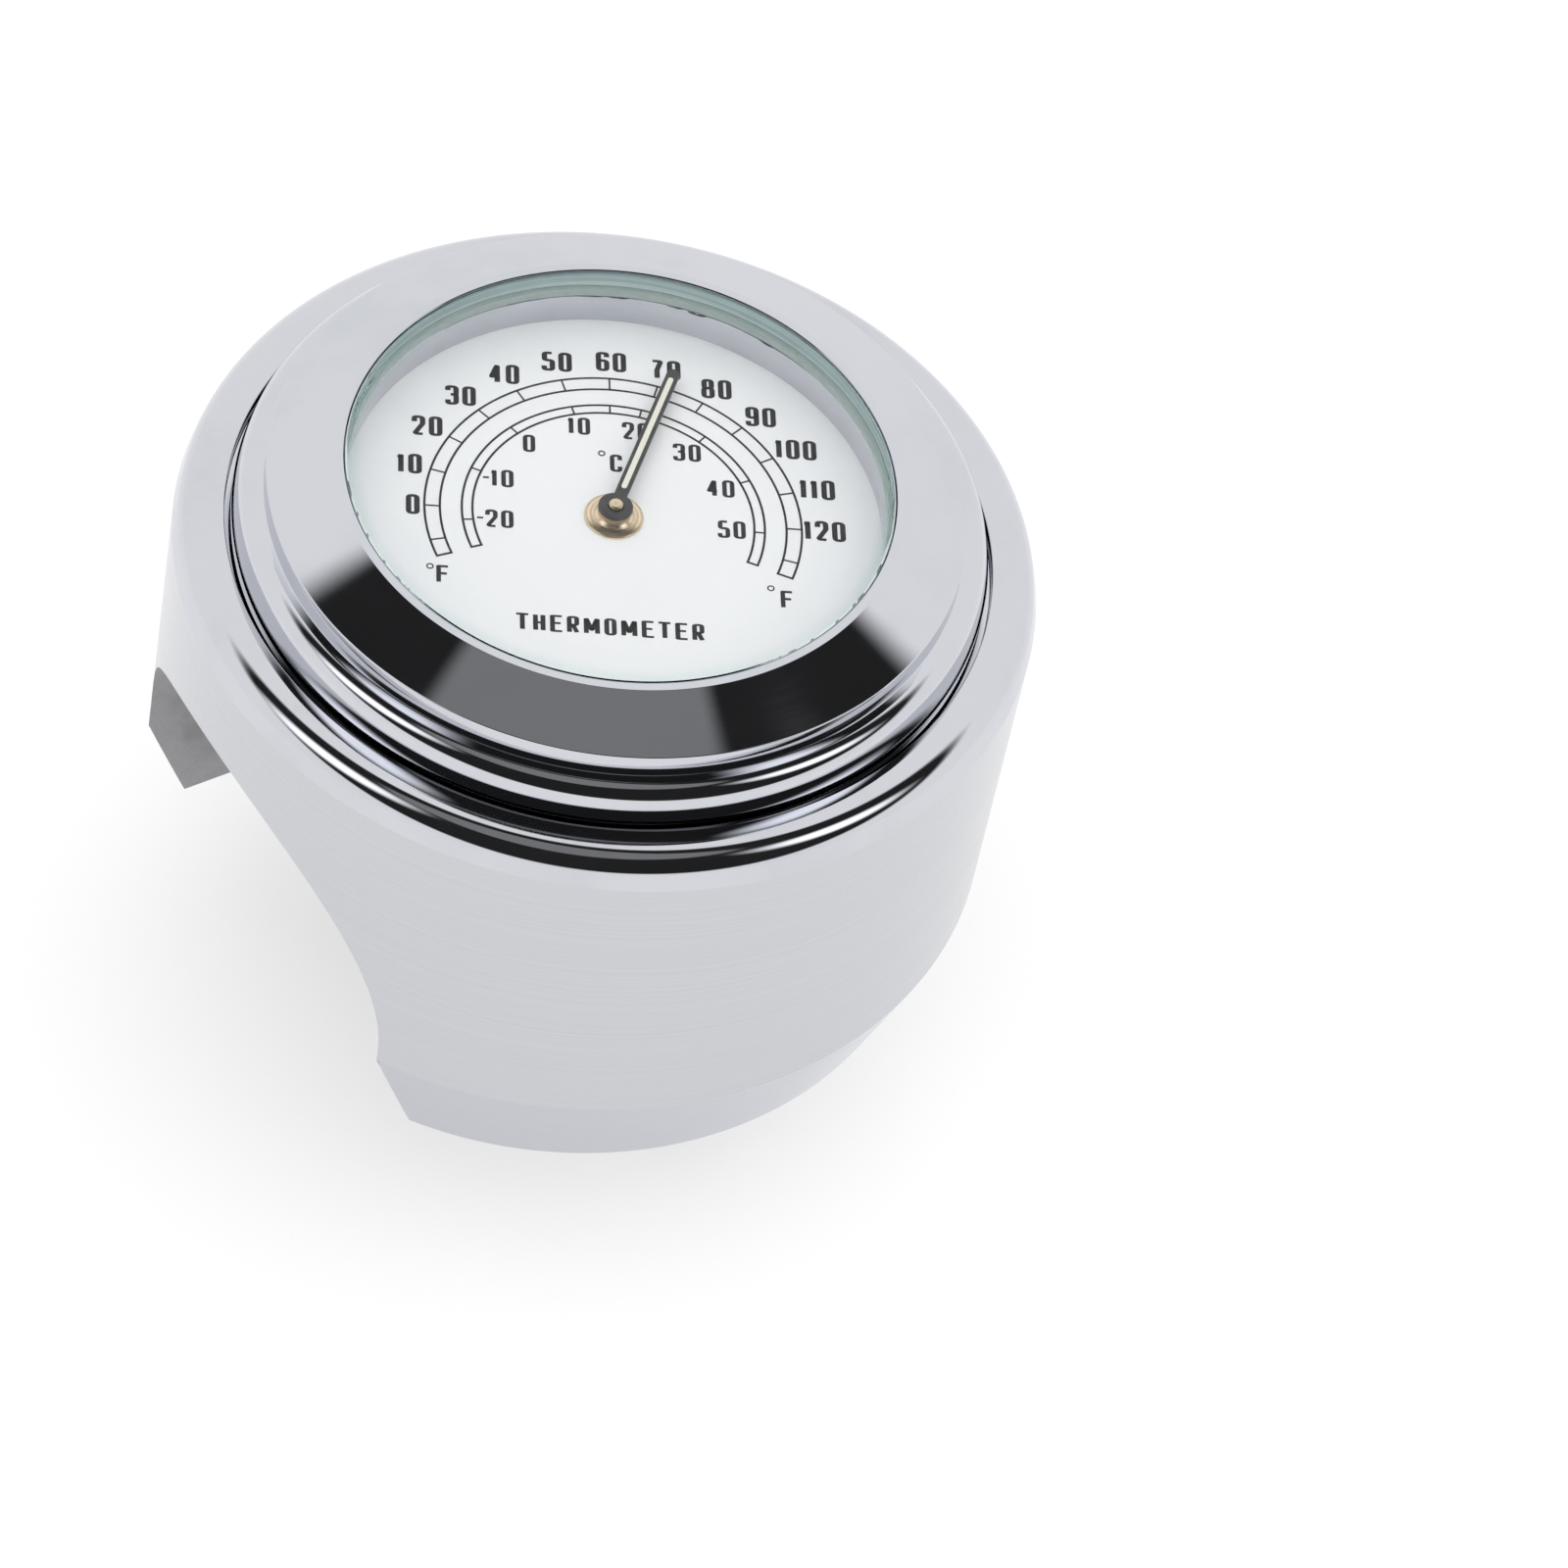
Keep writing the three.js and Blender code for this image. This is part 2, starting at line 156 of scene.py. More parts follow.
def prism(name, outline, low, high, along="z"):
    """A flat outline made solid between two levels, upright or along X."""
    place = (lambda p, t: (p[0], p[1], t)) if along == "z" else (lambda p, t: (t, p[0], p[1]))
    count = len(outline)
    points = [place(p, t) for t in (low, high) for p in outline]
    faces = [list(range(count))[::-1], list(range(count, 2 * count))]
    faces += [[i, (i + 1) % count, count + (i + 1) % count, count + i] for i in range(count)]
    return mesh_object(name, points, faces)


def settle(obj):
    """Bakes an object's modifiers into its mesh."""
    bpy.context.view_layer.update()
    shape = obj.evaluated_get(bpy.context.evaluated_depsgraph_get())
    obj.data = bpy.data.meshes.new_from_object(shape)
    obj.modifiers.clear()
    return obj


def cut(obj, *tools):
    for tool in tools:
        step = obj.modifiers.new("cut", "BOOLEAN")
        step.operation = "DIFFERENCE"
        step.solver = "EXACT"
        step.object = tool
        settle(obj)
        bpy.data.objects.remove(tool)
    return obj


def break_edges(obj, width, angle=50, segments=2, finish=-1):
    step = obj.modifiers.new("broken edges", "BEVEL")
    step.width = width * MM
    step.material = finish
    step.segments = segments
    step.limit_method = "ANGLE"
    step.angle_limit = math.radians(angle)
    return settle(obj)


def smooth(obj, angle=32):
    """Smooth shading whose flats stay flat right up to their rounded edges."""
    obj.data.shade_smooth()
    obj.data.set_sharp_from_angle(angle=math.radians(angle))
    step = obj.modifiers.new("true flats", "WEIGHTED_NORMAL")
    step.keep_sharp = True
    return settle(obj)


def place(obj, body, slot, replaces=()):
    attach(obj, body)
    if replaces:
        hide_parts(*replaces)
    print(f"{obj.name}: {len(obj.data.vertices)} points on {body}")
    return obj


# %% [markdown]
# ## Effects shared by several finishes
# Fine drawn lines, lathe marks, smudges and grain appear on more than one piece, so each is a
# node group with named inputs. A group only puts out values: the shader that uses them stays in
# each material, where its own numbers can be read.

# %% Build an empty node group
def new_group(name, inputs, outputs):
    tree = bpy.data.node_groups.new(name, "ShaderNodeTree")
    for label, value in inputs.items():
        tree.interface.new_socket(label, in_out="INPUT", socket_type="NodeSocketFloat").default_value = value
    for label in outputs:
        tree.interface.new_socket(label, in_out="OUTPUT", socket_type="NodeSocketFloat")
    return tree, tree.nodes.new("NodeGroupInput"), tree.nodes.new("NodeGroupOutput")


def node(tree, kind, **settings):
    made = tree.nodes.new("ShaderNode" + kind)
    for key, value in settings.items():
        if hasattr(made, key):
            setattr(made, key, value)
        else:
            made.inputs[key.replace("_", " ")].default_value = value
    return made


def maths(tree, operation, a, b=None):
    made = tree.nodes.new("ShaderNodeMath")
    made.operation = operation
    for i, value in enumerate((a, b)):
        if isinstance(value, (int, float)):
            made.inputs[i].default_value = value
        elif value is not None:
            tree.links.new(value, made.inputs[i])
    return made.outputs[0]


def ramp_range(tree, value, low, high, to_low=0.0, to_high=1.0, smooth_step=True):
    made = tree.nodes.new("ShaderNodeMapRange")
    made.interpolation_type = "SMOOTHSTEP" if smooth_step else "LINEAR"
    tree.links.new(value, made.inputs["Value"])
    ends = (("From Min", low), ("From Max", high), ("To Min", to_low), ("To Max", to_high))
    for label, end in ends:
        if isinstance(end, (int, float)):
            made.inputs[label].default_value = end
        else:
            tree.links.new(end, made.inputs[label])
    return made.outputs["Result"]


def noise(tree, vector, scale, detail=3.0, roughness=0.55):
    made = tree.nodes.new("ShaderNodeTexNoise")
    made.inputs["Detail"].default_value = detail
    made.inputs["Roughness"].default_value = roughness
    tree.links.new(vector, made.inputs["Vector"])
    if isinstance(scale, (int, float)):
        made.inputs["Scale"].default_value = scale
    else:
        tree.links.new(scale, made.inputs["Scale"])
    return made.outputs["Fac"]


# %% Drawn lines: fine level scratches that run round the wall
def build_drawn_lines():
    inputs = {"Lines per metre": 9000.0, "Wander": 40.0}
    tree, given, result = new_group("drawn_lines", inputs, ["Height", "Tone"])
    spot = node(tree, "TexCoord").outputs["Object"]
    parts = node(tree, "SeparateXYZ")
    tree.links.new(spot, parts.inputs[0])
    joined = node(tree, "CombineXYZ")
    tree.links.new(maths(tree, "MULTIPLY", parts.outputs["X"], given.outputs["Wander"]), joined.inputs["X"])
    tree.links.new(maths(tree, "MULTIPLY", parts.outputs["Y"], given.outputs["Wander"]), joined.inputs["Y"])
    level = maths(tree, "MULTIPLY", parts.outputs["Z"], given.outputs["Lines per metre"])
    tree.links.new(level, joined.inputs["Z"])
    lines = noise(tree, joined.outputs[0], 1.0, detail=4.0, roughness=0.7)
    tree.links.new(lines, result.inputs["Height"])
    tree.links.new(ramp_range(tree, lines, 0.3, 0.7), result.inputs["Tone"])
    return tree


# %% Lathe marks: rings about the dial's axis
def build_lathe_marks():
    tree, given, result = new_group("lathe_marks", {"Rings per metre": 12000.0}, ["Height", "Tone"])
    spot = node(tree, "TexCoord").outputs["Object"]
    parts = node(tree, "SeparateXYZ")
    tree.links.new(spot, parts.inputs[0])
    squares = [maths(tree, "POWER", parts.outputs[axis], 2.0) for axis in ("X", "Y")]
    radius = maths(tree, "SQRT", maths(tree, "ADD", *squares))
    joined = node(tree, "CombineXYZ")
    tree.links.new(maths(tree, "MULTIPLY", radius, given.outputs["Rings per metre"]), joined.inputs["X"])
    level = maths(tree, "MULTIPLY", parts.outputs["Z"], given.outputs["Rings per metre"])
    tree.links.new(level, joined.inputs["Y"])
    rings = noise(tree, joined.outputs[0], 1.0, detail=3.0, roughness=0.6)
    tree.links.new(rings, result.inputs["Height"])
    tree.links.new(ramp_range(tree, rings, 0.3, 0.7), result.inputs["Tone"])
    return tree


# %% Handling: faint cloudy smudges, given back between two limits
def build_handling():
    inputs = {"Size": 160.0, "Clean": 0.05, "Smudged": 0.12}
    tree, given, result = new_group("handling", inputs, ["Value", "Mask"])
    spot = node(tree, "TexCoord").outputs["Object"]
    cloud = noise(tree, spot, given.outputs["Size"], detail=5.0, roughness=0.62)
    mask = ramp_range(tree, cloud, 0.42, 0.7)
    tree.links.new(mask, result.inputs["Mask"])
    clean, smudged = given.outputs["Clean"], given.outputs["Smudged"]
    both = ramp_range(tree, mask, 0.0, 1.0, clean, smudged, smooth_step=False)
    tree.links.new(both, result.inputs["Value"])
    return tree


# %% Grain: the fine even tooth of paint, rubber and raw castings
def build_grain():
    inputs = {"Grains per metre": 9000.0, "Low": 0.0, "High": 1.0}
    tree, given, result = new_group("grain", inputs, ["Height", "Value"])
    spot = node(tree, "TexCoord").outputs["Object"]
    fine = noise(tree, spot, given.outputs["Grains per metre"], detail=2.0, roughness=0.5)
    tree.links.new(fine, result.inputs["Height"])
    both = ramp_range(tree, fine, 0.25, 0.75, given.outputs["Low"], given.outputs["High"], smooth_step=False)
    tree.links.new(both, result.inputs["Value"])
    return tree


DRAWN_LINES = build_drawn_lines()
LATHE_MARKS = build_lathe_marks()
HANDLING = build_handling()
GRAIN = build_grain()
print("shared effects:", [g.name for g in (DRAWN_LINES, LATHE_MARKS, HANDLING, GRAIN)])

# %% [markdown]
# ## A short way to write a finish
# `Finish` makes a material with one Principled shader, sets its constant values on the shader's
# own sockets, and offers small steps for adding a group, tinting by a mask and adding bumps.

# %% The finish helper
class Finish:
    def __init__(self, name, colour, **values):
        self.material = bpy.data.materials.new(name)
        self.material.use_nodes = True
        self.tree = self.material.node_tree
        self.shader = self.tree.nodes["Principled BSDF"]
        self.shader.inputs["Base Color"].default_value = (*colour, 1.0)
        for label, value in values.items():
            self.shader.inputs[label.replace("_", " ")].default_value = value

    def use(self, group, **values):
        made = self.tree.nodes.new("ShaderNodeGroup")
        made.node_tree = group
        for label, value in values.items():
            made.inputs[label.replace("_", " ")].default_value = value
        return made.outputs

    def feed(self, label, value):
        self.tree.links.new(value, self.shader.inputs[label])
        return self

    def tint(self, mask, low, high):
        made = self.tree.nodes.new("ShaderNodeMix")
        made.data_type = "RGBA"
        made.inputs["A"].default_value = (*low, 1.0)
        made.inputs["B"].default_value = (*high, 1.0)
        self.tree.links.new(mask, made.inputs["Factor"])
        return self.feed("Base Color", made.outputs["Result"])

    def bump(self, height, distance, strength=1.0):
        made = self.tree.nodes.new("ShaderNodeBump")
        made.inputs["Distance"].default_value = distance * MM
        made.inputs["Strength"].default_value = strength
        self.tree.links.new(height, made.inputs["Height"])
        return self.feed("Normal", made.outputs["Normal"])


# %% [markdown]
# ## The finishes
# The housing has five: bright plating on its shoulder, drawn plating on its wall, satin on its
# foot, the dull metal of the saddle, which is cut after polishing, and chips on the saddle's
# edges. The bezel is mirror chrome. A metal shows mostly what is around it, so its colour is
# nearly neutral and its roughness does the work.

# %% Metals
def mirror_chrome():
    made = Finish("mirror_chrome", (0.62, 0.633, 0.675), Metallic=1.0, Roughness=0.035)
    marks = made.use(HANDLING, Size=120.0, Clean=0.025, Smudged=0.06)
    made.feed("Roughness", marks["Value"])
    made.tint(marks["Mask"], (0.63, 0.643, 0.685), (0.59, 0.605, 0.65))
    rings = made.use(LATHE_MARKS, Rings_per_metre=2600.0)
    return made.bump(rings["Height"], 0.0008).material


def drawn_plating():
    made = Finish("drawn_plating", (0.60, 0.605, 0.635), Metallic=1.0, Roughness=0.17,
                  Anisotropic=0.7, Anisotropic_Rotation=0.25)
    lines = made.use(DRAWN_LINES, Lines_per_metre=9000.0, Wander=7.0)
    made.feed("Roughness", ramp_range(made.tree, lines["Tone"], 0.0, 1.0, 0.13, 0.22))
    made.tint(lines["Tone"], (0.615, 0.62, 0.65), (0.58, 0.587, 0.62))
    return made.bump(lines["Height"], 0.0018).material


def bright_plating():
    made = Finish("bright_plating", (0.62, 0.63, 0.67), Metallic=1.0, Roughness=0.05)
    marks = made.use(HANDLING, Size=110.0, Clean=0.035, Smudged=0.085)
    made.feed("Roughness", marks["Value"])
    made.tint(marks["Mask"], (0.63, 0.64, 0.68), (0.58, 0.59, 0.635))
    rings = made.use(LATHE_MARKS, Rings_per_metre=2200.0)
    return made.bump(rings["Height"], 0.0014).material


def satin_chamfer():
    made = Finish("satin_chamfer", (0.60, 0.61, 0.65), Metallic=1.0, Roughness=0.12)
    lines = made.use(DRAWN_LINES, Lines_per_metre=7000.0, Wander=7.0)
    made.feed("Roughness", ramp_range(made.tree, lines["Tone"], 0.0, 1.0, 0.1, 0.17))
    made.tint(lines["Tone"], (0.585, 0.60, 0.65), (0.55, 0.565, 0.62))
    return made.bump(lines["Height"], 0.0015).material


def cut_metal():
    made = Finish("cut_metal", (0.50, 0.50, 0.51), Metallic=0.8, Roughness=0.55)
    tooth = made.use(GRAIN, Grains_per_metre=8200.0, Low=0.45, High=0.65)
    made.feed("Roughness", tooth["Value"])
    cloud = made.use(HANDLING, Size=230.0)
    made.tint(cloud["Mask"], (0.42, 0.42, 0.435), (0.34, 0.335, 0.34))
    return made.bump(tooth["Height"], 0.012).material


def chipped_edge():
    made = Finish("chipped_edge", (0.2, 0.2, 0.2), Metallic=0.9, Roughness=0.5)
    chips = made.use(GRAIN, Grains_per_metre=1900.0, Low=0.6, High=0.25)
    made.feed("Roughness", chips["Value"])
    made.tint(ramp_range(made.tree, chips["Height"], 0.4, 0.58), (0.05, 0.05, 0.052), (0.62, 0.62, 0.65))
    return made.bump(chips["Height"], 0.05).material


def turned_brass():
    made = Finish("turned_brass", (0.78, 0.57, 0.36), Metallic=1.0, Roughness=0.25)
    rings = made.use(LATHE_MARKS, Rings_per_metre=14000.0)
    made.feed("Roughness", ramp_range(made.tree, rings["Tone"], 0.0, 1.0, 0.2, 0.36))
    made.tint(rings["Tone"], (0.90, 0.74, 0.53), (0.70, 0.54, 0.37))
    return made.bump(rings["Height"], 0.004).material


def plain_steel():
    made = Finish("plain_steel", (0.56, 0.56, 0.57), Metallic=1.0, Roughness=0.3)
    marks = made.use(HANDLING, Size=420.0, Clean=0.24, Smudged=0.42)
    made.feed("Roughness", marks["Value"])
    made.tint(marks["Mask"], (0.60, 0.60, 0.61), (0.46, 0.46, 0.47))
    tooth = made.use(GRAIN, Grains_per_metre=7000.0)
    return made.bump(tooth["Height"], 0.004).material


def rolled_bimetal():
    made = Finish("rolled_bimetal", (0.50, 0.44, 0.36), Metallic=1.0, Roughness=0.34)
    lines = made.use(DRAWN_LINES, Lines_per_metre=15000.0, Wander=300.0)
    made.feed("Roughness", ramp_range(made.tree, lines["Tone"], 0.0, 1.0, 0.28, 0.42))
    made.tint(lines["Tone"], (0.55, 0.49, 0.41), (0.42, 0.37, 0.31))
    return made.bump(lines["Height"], 0.003).material


# %% [markdown]
# Glass bends light, so the lens is a real disc with a thickness. Seen through its rim, the
# glass is green: a mask that grows towards the rim tints it there and leaves the middle clear.

# %% Glass, paint, ink and rubber
def lens_glass():
    made = Finish("lens_glass", (0.96, 0.985, 0.975), Roughness=0.0, IOR=1.5, Transmission_Weight=1.0,
                  Specular_IOR_Level=0.15, Specular_Tint=(0.2, 0.2, 0.2, 1.0))
    spot = made.tree.nodes.new("ShaderNodeTexCoord").outputs["Object"]
    flat = made.tree.nodes.new("ShaderNodeVectorMath")
    flat.operation = "MULTIPLY"
    flat.inputs[1].default_value = (1.0, 1.0, 0.0)
    made.tree.links.new(spot, flat.inputs[0])
    size = made.tree.nodes.new("ShaderNodeVectorMath")
    size.operation = "LENGTH"
    made.tree.links.new(flat.outputs[0], size.inputs[0])
    rim = ramp_range(made.tree, size.outputs["Value"], (GLASS - 0.95) * MM, (GLASS - 0.15) * MM)
    return made.tint(rim, (0.992, 0.998, 0.997), (0.84, 0.93, 0.92)).material


def ground_glass():
    made = Finish("ground_glass", (0.44, 0.56, 0.57), Roughness=0.45, Specular_IOR_Level=0.3)
    lines = made.use(DRAWN_LINES, Lines_per_metre=1500.0, Wander=14.0)
    made.tint(ramp_range(made.tree, lines["Height"], 0.36, 0.62), (0.27, 0.37, 0.385), (0.66, 0.78, 0.775))
    tooth = made.use(GRAIN, Grains_per_metre=5000.0, Low=0.35, High=0.55)
    made.feed("Roughness", tooth["Value"])
    return made.bump(tooth["Height"], 0.006).material


def clear_seal():
    made = Finish("clear_seal", (0.72, 0.80, 0.77), Roughness=0.35, IOR=1.41, Transmission_Weight=0.35)
    tooth = made.use(GRAIN, Grains_per_metre=3000.0, Low=0.3, High=0.45)
    made.feed("Roughness", tooth["Value"])
    made.tint(tooth["Height"], (0.66, 0.76, 0.73), (0.80, 0.87, 0.84))
    return made.bump(tooth["Height"], 0.006).material


def dial_paint():
    made = Finish("dial_paint", (0.92, 0.92, 0.935), Roughness=0.55)
    tooth = made.use(GRAIN, Grains_per_metre=5200.0, Low=0.5, High=0.62)
    made.feed("Roughness", tooth["Value"])
    cloud = made.use(HANDLING, Size=70.0)
    made.tint(cloud["Mask"], (0.925, 0.925, 0.94), (0.905, 0.907, 0.925))
    return made.bump(tooth["Height"], 0.0015).material


def dial_ink():
    made = Finish("dial_ink", (0.01, 0.01, 0.012), Roughness=0.6)
    tooth = made.use(GRAIN, Grains_per_metre=9000.0, Low=0.5, High=0.7)
    made.feed("Roughness", tooth["Value"])
    made.tint(ramp_range(made.tree, tooth["Height"], 0.35, 0.7), (0.006, 0.006, 0.007), (0.022, 0.022, 0.024))
    return made.bump(tooth["Height"], 0.002).material


def pointer_paint():
    made = Finish("pointer_paint", (0.035, 0.035, 0.034), Roughness=0.42)
    tooth = made.use(GRAIN, Grains_per_metre=6500.0, Low=0.34, High=0.5)
    made.feed("Roughness", tooth["Value"])
    made.tint(tooth["Height"], (0.028, 0.028, 0.028), (0.06, 0.06, 0.058))
    return made.bump(tooth["Height"], 0.004).material


def inlay_paint():
    made = Finish("inlay_paint", (0.83, 0.82, 0.72), Roughness=0.6)
    tooth = made.use(GRAIN, Grains_per_metre=7000.0, Low=0.5, High=0.68)
    made.feed("Roughness", tooth["Value"])
    made.tint(tooth["Height"], (0.78, 0.77, 0.66), (0.88, 0.87, 0.78))
    return made.bump(tooth["Height"], 0.006).material


def black_rubber():
    made = Finish("black_rubber", (0.022, 0.022, 0.024), Roughness=0.7)
    tooth = made.use(GRAIN, Grains_per_metre=2600.0, Low=0.6, High=0.82)
    made.feed("Roughness", tooth["Value"])
    made.tint(tooth["Height"], (0.016, 0.016, 0.018), (0.04, 0.04, 0.042))
    return made.bump(tooth["Height"], 0.02).material


CHROME = mirror_chrome()
DRAWN = drawn_plating()
BRIGHT = bright_plating()
CHAMFER = satin_chamfer()
CUT_METAL = cut_metal()
CHIPPED = chipped_edge()
BRASS = turned_brass()
STEEL = plain_steel()
BIMETAL = rolled_bimetal()
LENS_GLASS = lens_glass()
GROUND_GLASS = ground_glass()
SEAL = clear_seal()
DIAL_PAINT = dial_paint()
INK = dial_ink()
POINTER_PAINT = pointer_paint()
INLAY_PAINT = inlay_paint()
RUBBER = black_rubber()


def coat(obj, *materials):
    obj.data.materials.clear()
    for material in materials:
        obj.data.materials.append(material)
    return obj


# %% [markdown]
# ## The housing
# The blank is turned with a conical foot, a straight wall, a rounded shoulder, a flat ledge and
# the pocket for the insert. Then a bar-shaped tool cuts the saddle across it, as the real one is
# milled, and the edges that the cut leaves are broken by a tenth of a millimetre.

# %% Turn the blank
CHAMFER_TOP = FOOT + 6.4
FOOT_RADIUS = WALL - 2.12
SHOULDER = 1.2
SHOULDER_IN = WALL - 0.15 - SHOULDER
WALL_TOP = LEDGE - 1.55
MOUTH_RADIUS = FLANGE + 0.32
MOUTH_FLOOR = LEDGE - 0.75
POCKET_RADIUS = MOUTH_RADIUS - 0.72
POCKET_FLOOR = FOOT + 20.6


def housing_blank():
    outline = [
        [0, FOOT],
        [FOOT_RADIUS, FOOT],
        [WALL, CHAMFER_TOP],
        [WALL, WALL_TOP],
        *arc(SHOULDER_IN, LEDGE - SHOULDER, SHOULDER, 20, 90, 18),
        [MOUTH_RADIUS, LEDGE],
        [MOUTH_RADIUS, MOUTH_FLOOR],
        [POCKET_RADIUS, MOUTH_FLOOR],
        [POCKET_RADIUS, POCKET_FLOOR],
        [0, POCKET_FLOOR],
    ]
    return turned("housing_shell", softened(outline, 0.08, closed=False, least=12), closed=False)


# %% Cut the saddle and the screw holes
def saddle_tool():
    past = WALL + 3
    outline = [[-SADDLE_RADIUS, FOOT - 3], [SADDLE_RADIUS, FOOT - 3]]
    outline += arc(0, BAR, SADDLE_RADIUS, 0, 180, 120)
    return prism("saddle_tool", outline, -past, past, along="x")


SCREW_HOLE = 1.35


def screw_hole_tool(node_name):
    low, high = span(node_name)
    middle = (low + high) / 2
    under, over = FOOT - 2, high.z + 1
    hole = [[0, under], [SCREW_HOLE, under], [SCREW_HOLE, over], [0, over]]
    return turned("hole_tool", hole, closed=False, sides=64, centre=(middle.x, middle.y))


SCREWS = ("clamp_screw_near", "clamp_screw_far")
housing = cut(housing_blank(), saddle_tool(), *[screw_hole_tool(s) for s in SCREWS])

# %% Give each face of the housing its finish
BRIGHT_ZONE, WALL_ZONE, CHAMFER_ZONE, SADDLE_ZONE, CHIPPED_ZONE = range(5)


def from_bar(y, z):
    """Distance from the bar's axis or, below it, from the upright plane through it."""
    return math.hypot(y, z - BAR) if z > BAR else abs(y)


def housing_zones(obj):
    coat(obj, BRIGHT, DRAWN, CHAMFER, CUT_METAL, CHIPPED)
    counts = [0, 0, 0, 0]
    for face in obj.data.polygons:
        x, y, z = face.center / MM
        radius = math.hypot(x, y)
        outward = (face.normal.x * x + face.normal.y * y) / max(radius, 1e-6)
        zone = BRIGHT_ZONE
        if abs(from_bar(y, z) - SADDLE_RADIUS) < 0.05 and outward < 0.98 and z < POCKET_FLOOR - 1:
            zone = SADDLE_ZONE
        elif outward > 0.99 and radius > WALL - 0.1 and CHAMFER_TOP - 0.05 < z < WALL_TOP + 0.1:
            zone = WALL_ZONE
        elif outward > 0.8 and z < CHAMFER_TOP + 0.05:
            zone = CHAMFER_ZONE
        face.material_index = zone
        counts[zone] += 1
    print("housing faces by zone:", counts)


def keep_chips_to_saddle(obj):
    """Broken edges away from the saddle go back to bright plating."""
    for face in obj.data.polygons:
        x, y, z = face.center / MM
        away = abs(from_bar(y, z) - SADDLE_RADIUS) > 0.25 or z > POCKET_FLOOR - 1
        if face.material_index == CHIPPED_ZONE and away:
            face.material_index = BRIGHT_ZONE


housing_zones(housing)
housing = break_edges(housing, 0.09, angle=50, finish=CHIPPED_ZONE)
keep_chips_to_saddle(housing)
smooth(housing)
place(housing, "housing", "plated_housing", ["housing"])

# %% [markdown]
# ## The bezel
# One turned ring: a skirt with the seal's groove, a flange, a bead, a short wall, the wide
# polished cone and a narrow lip round the glass.

# %% Turn the bezel
SKIRT = POCKET_RADIUS - 0.3
BEAD = 0.95
BEAD_IN = FLANGE - 1.0825
CONE_FOOT = FLANGE - 1.44
CONE_FOOT_Z = TOP - 1.2
BEAD_TOP = TOP - 2.43
LIP = GLASS + 0.52
BORE = CAPSULE + 0.2
GROOVE_LOW = bezel_low.z + 1.1
GROOVE_HIGH = GROOVE_LOW + 1.4


def bezel():
    outline = [
        [BORE, bezel_low.z],
        [SKIRT, bezel_low.z],
        [SKIRT, GROOVE_LOW],
        [SKIRT - 0.6, GROOVE_LOW],
        [SKIRT - 0.6, GROOVE_HIGH],
        [SKIRT, GROOVE_HIGH],
        [SKIRT, MOUTH_FLOOR + 0.2],
        [FLANGE, MOUTH_FLOOR + 0.2],
        [FLANGE, BEAD_TOP - 1.48],
        *arc(BEAD_IN, BEAD_TOP - BEAD, BEAD, 28, 90, 16),
        [CONE_FOOT, BEAD_TOP],
        [CONE_FOOT, CONE_FOOT_Z],
        [LIP, TOP],
        [GLASS + 0.06, TOP],
        [GLASS + 0.06, lens_low.z - 0.02],
        [BORE, lens_low.z - 0.02],
    ]
    return turned("bezel_shell", softened(outline, 0.07, least=15))


place(coat(smooth(bezel()), CHROME), "insert", "chrome_bezel", ["bezel_ring"])

# %% [markdown]
# ## Glass and the ring below it
# The lens is a plain disc with ground edges. Under its rim lies a clear seal, and below that the
# bright ring that keeps glass and dial apart; from above it mirrors the figures on the dial.

# %% Lens, seal and reflector
def lens():
    outline = [[0, lens_low.z], [GLASS, lens_low.z], [GLASS, lens_high.z], [0, lens_high.z]]
    made = turned("lens_disc", softened(outline, 0.16, closed=False), closed=False)
    coat(made, LENS_GLASS, GROUND_GLASS)
    for face in made.data.polygons:
        face.material_index = int(abs(face.normal.z) < 0.3)
    return made


gasket_low, gasket_high = span("lens_gasket")
REFLECTOR_LOW = CAPSULE - 1.06
REFLECTOR_HIGH = CAPSULE - 1.1


def seal_under_lens():
    inner = REFLECTOR_HIGH
    low, high = gasket_low.z, gasket_high.z
    outline = [[inner, low], [CAPSULE, low], [CAPSULE, high], [inner, high]]
    return turned("seal_under_lens", softened(outline, 0.05))


def reflector():
    top = gasket_low.z
    outline = [[REFLECTOR_LOW, DIAL], [CAPSULE, DIAL], [CAPSULE, top], [REFLECTOR_HIGH, top]]
    return turned("bright_reflector", softened(outline, 0.05))


place(smooth(lens()), "insert", "lens_glass", ["lens"])
place(coat(smooth(seal_under_lens()), SEAL), "insert", "clear_seal", ["lens_gasket"])
place(coat(smooth(reflector()), CHROME), "insert", "chrome_bezel", ["reflector_ring"])

# %% [markdown]
# ## The dial and its print
# The plate is a thin painted disc. The print is real too: every line and figure is a low solid,
# a hundredth of a millimetre of ink, so it exports with the model. A pen follows a path and lays
# a ribbon; the pen is wider across than along, which gives upright strokes their extra weight.

# %% The plate
def dial_plate():
    low = DIAL - 0.4
    outline = [[1.0, low], [CAPSULE, low], [CAPSULE, DIAL], [1.0, DIAL]]
    return turned("dial_disc", softened(outline, 0.04))


place(coat(smooth(dial_plate()), DIAL_PAINT), "insert", "dial_white", ["dial_plate"])

# %% The pen
INK_LOW = DIAL + 0.002
INK_HIGH = DIAL + 0.014
DIAL_UP = math.radians(60.8)
DIAL_RIGHT = Vector((math.sin(DIAL_UP), -math.cos(DIAL_UP)))
DIAL_NORTH = Vector((math.cos(DIAL_UP), math.sin(DIAL_UP)))


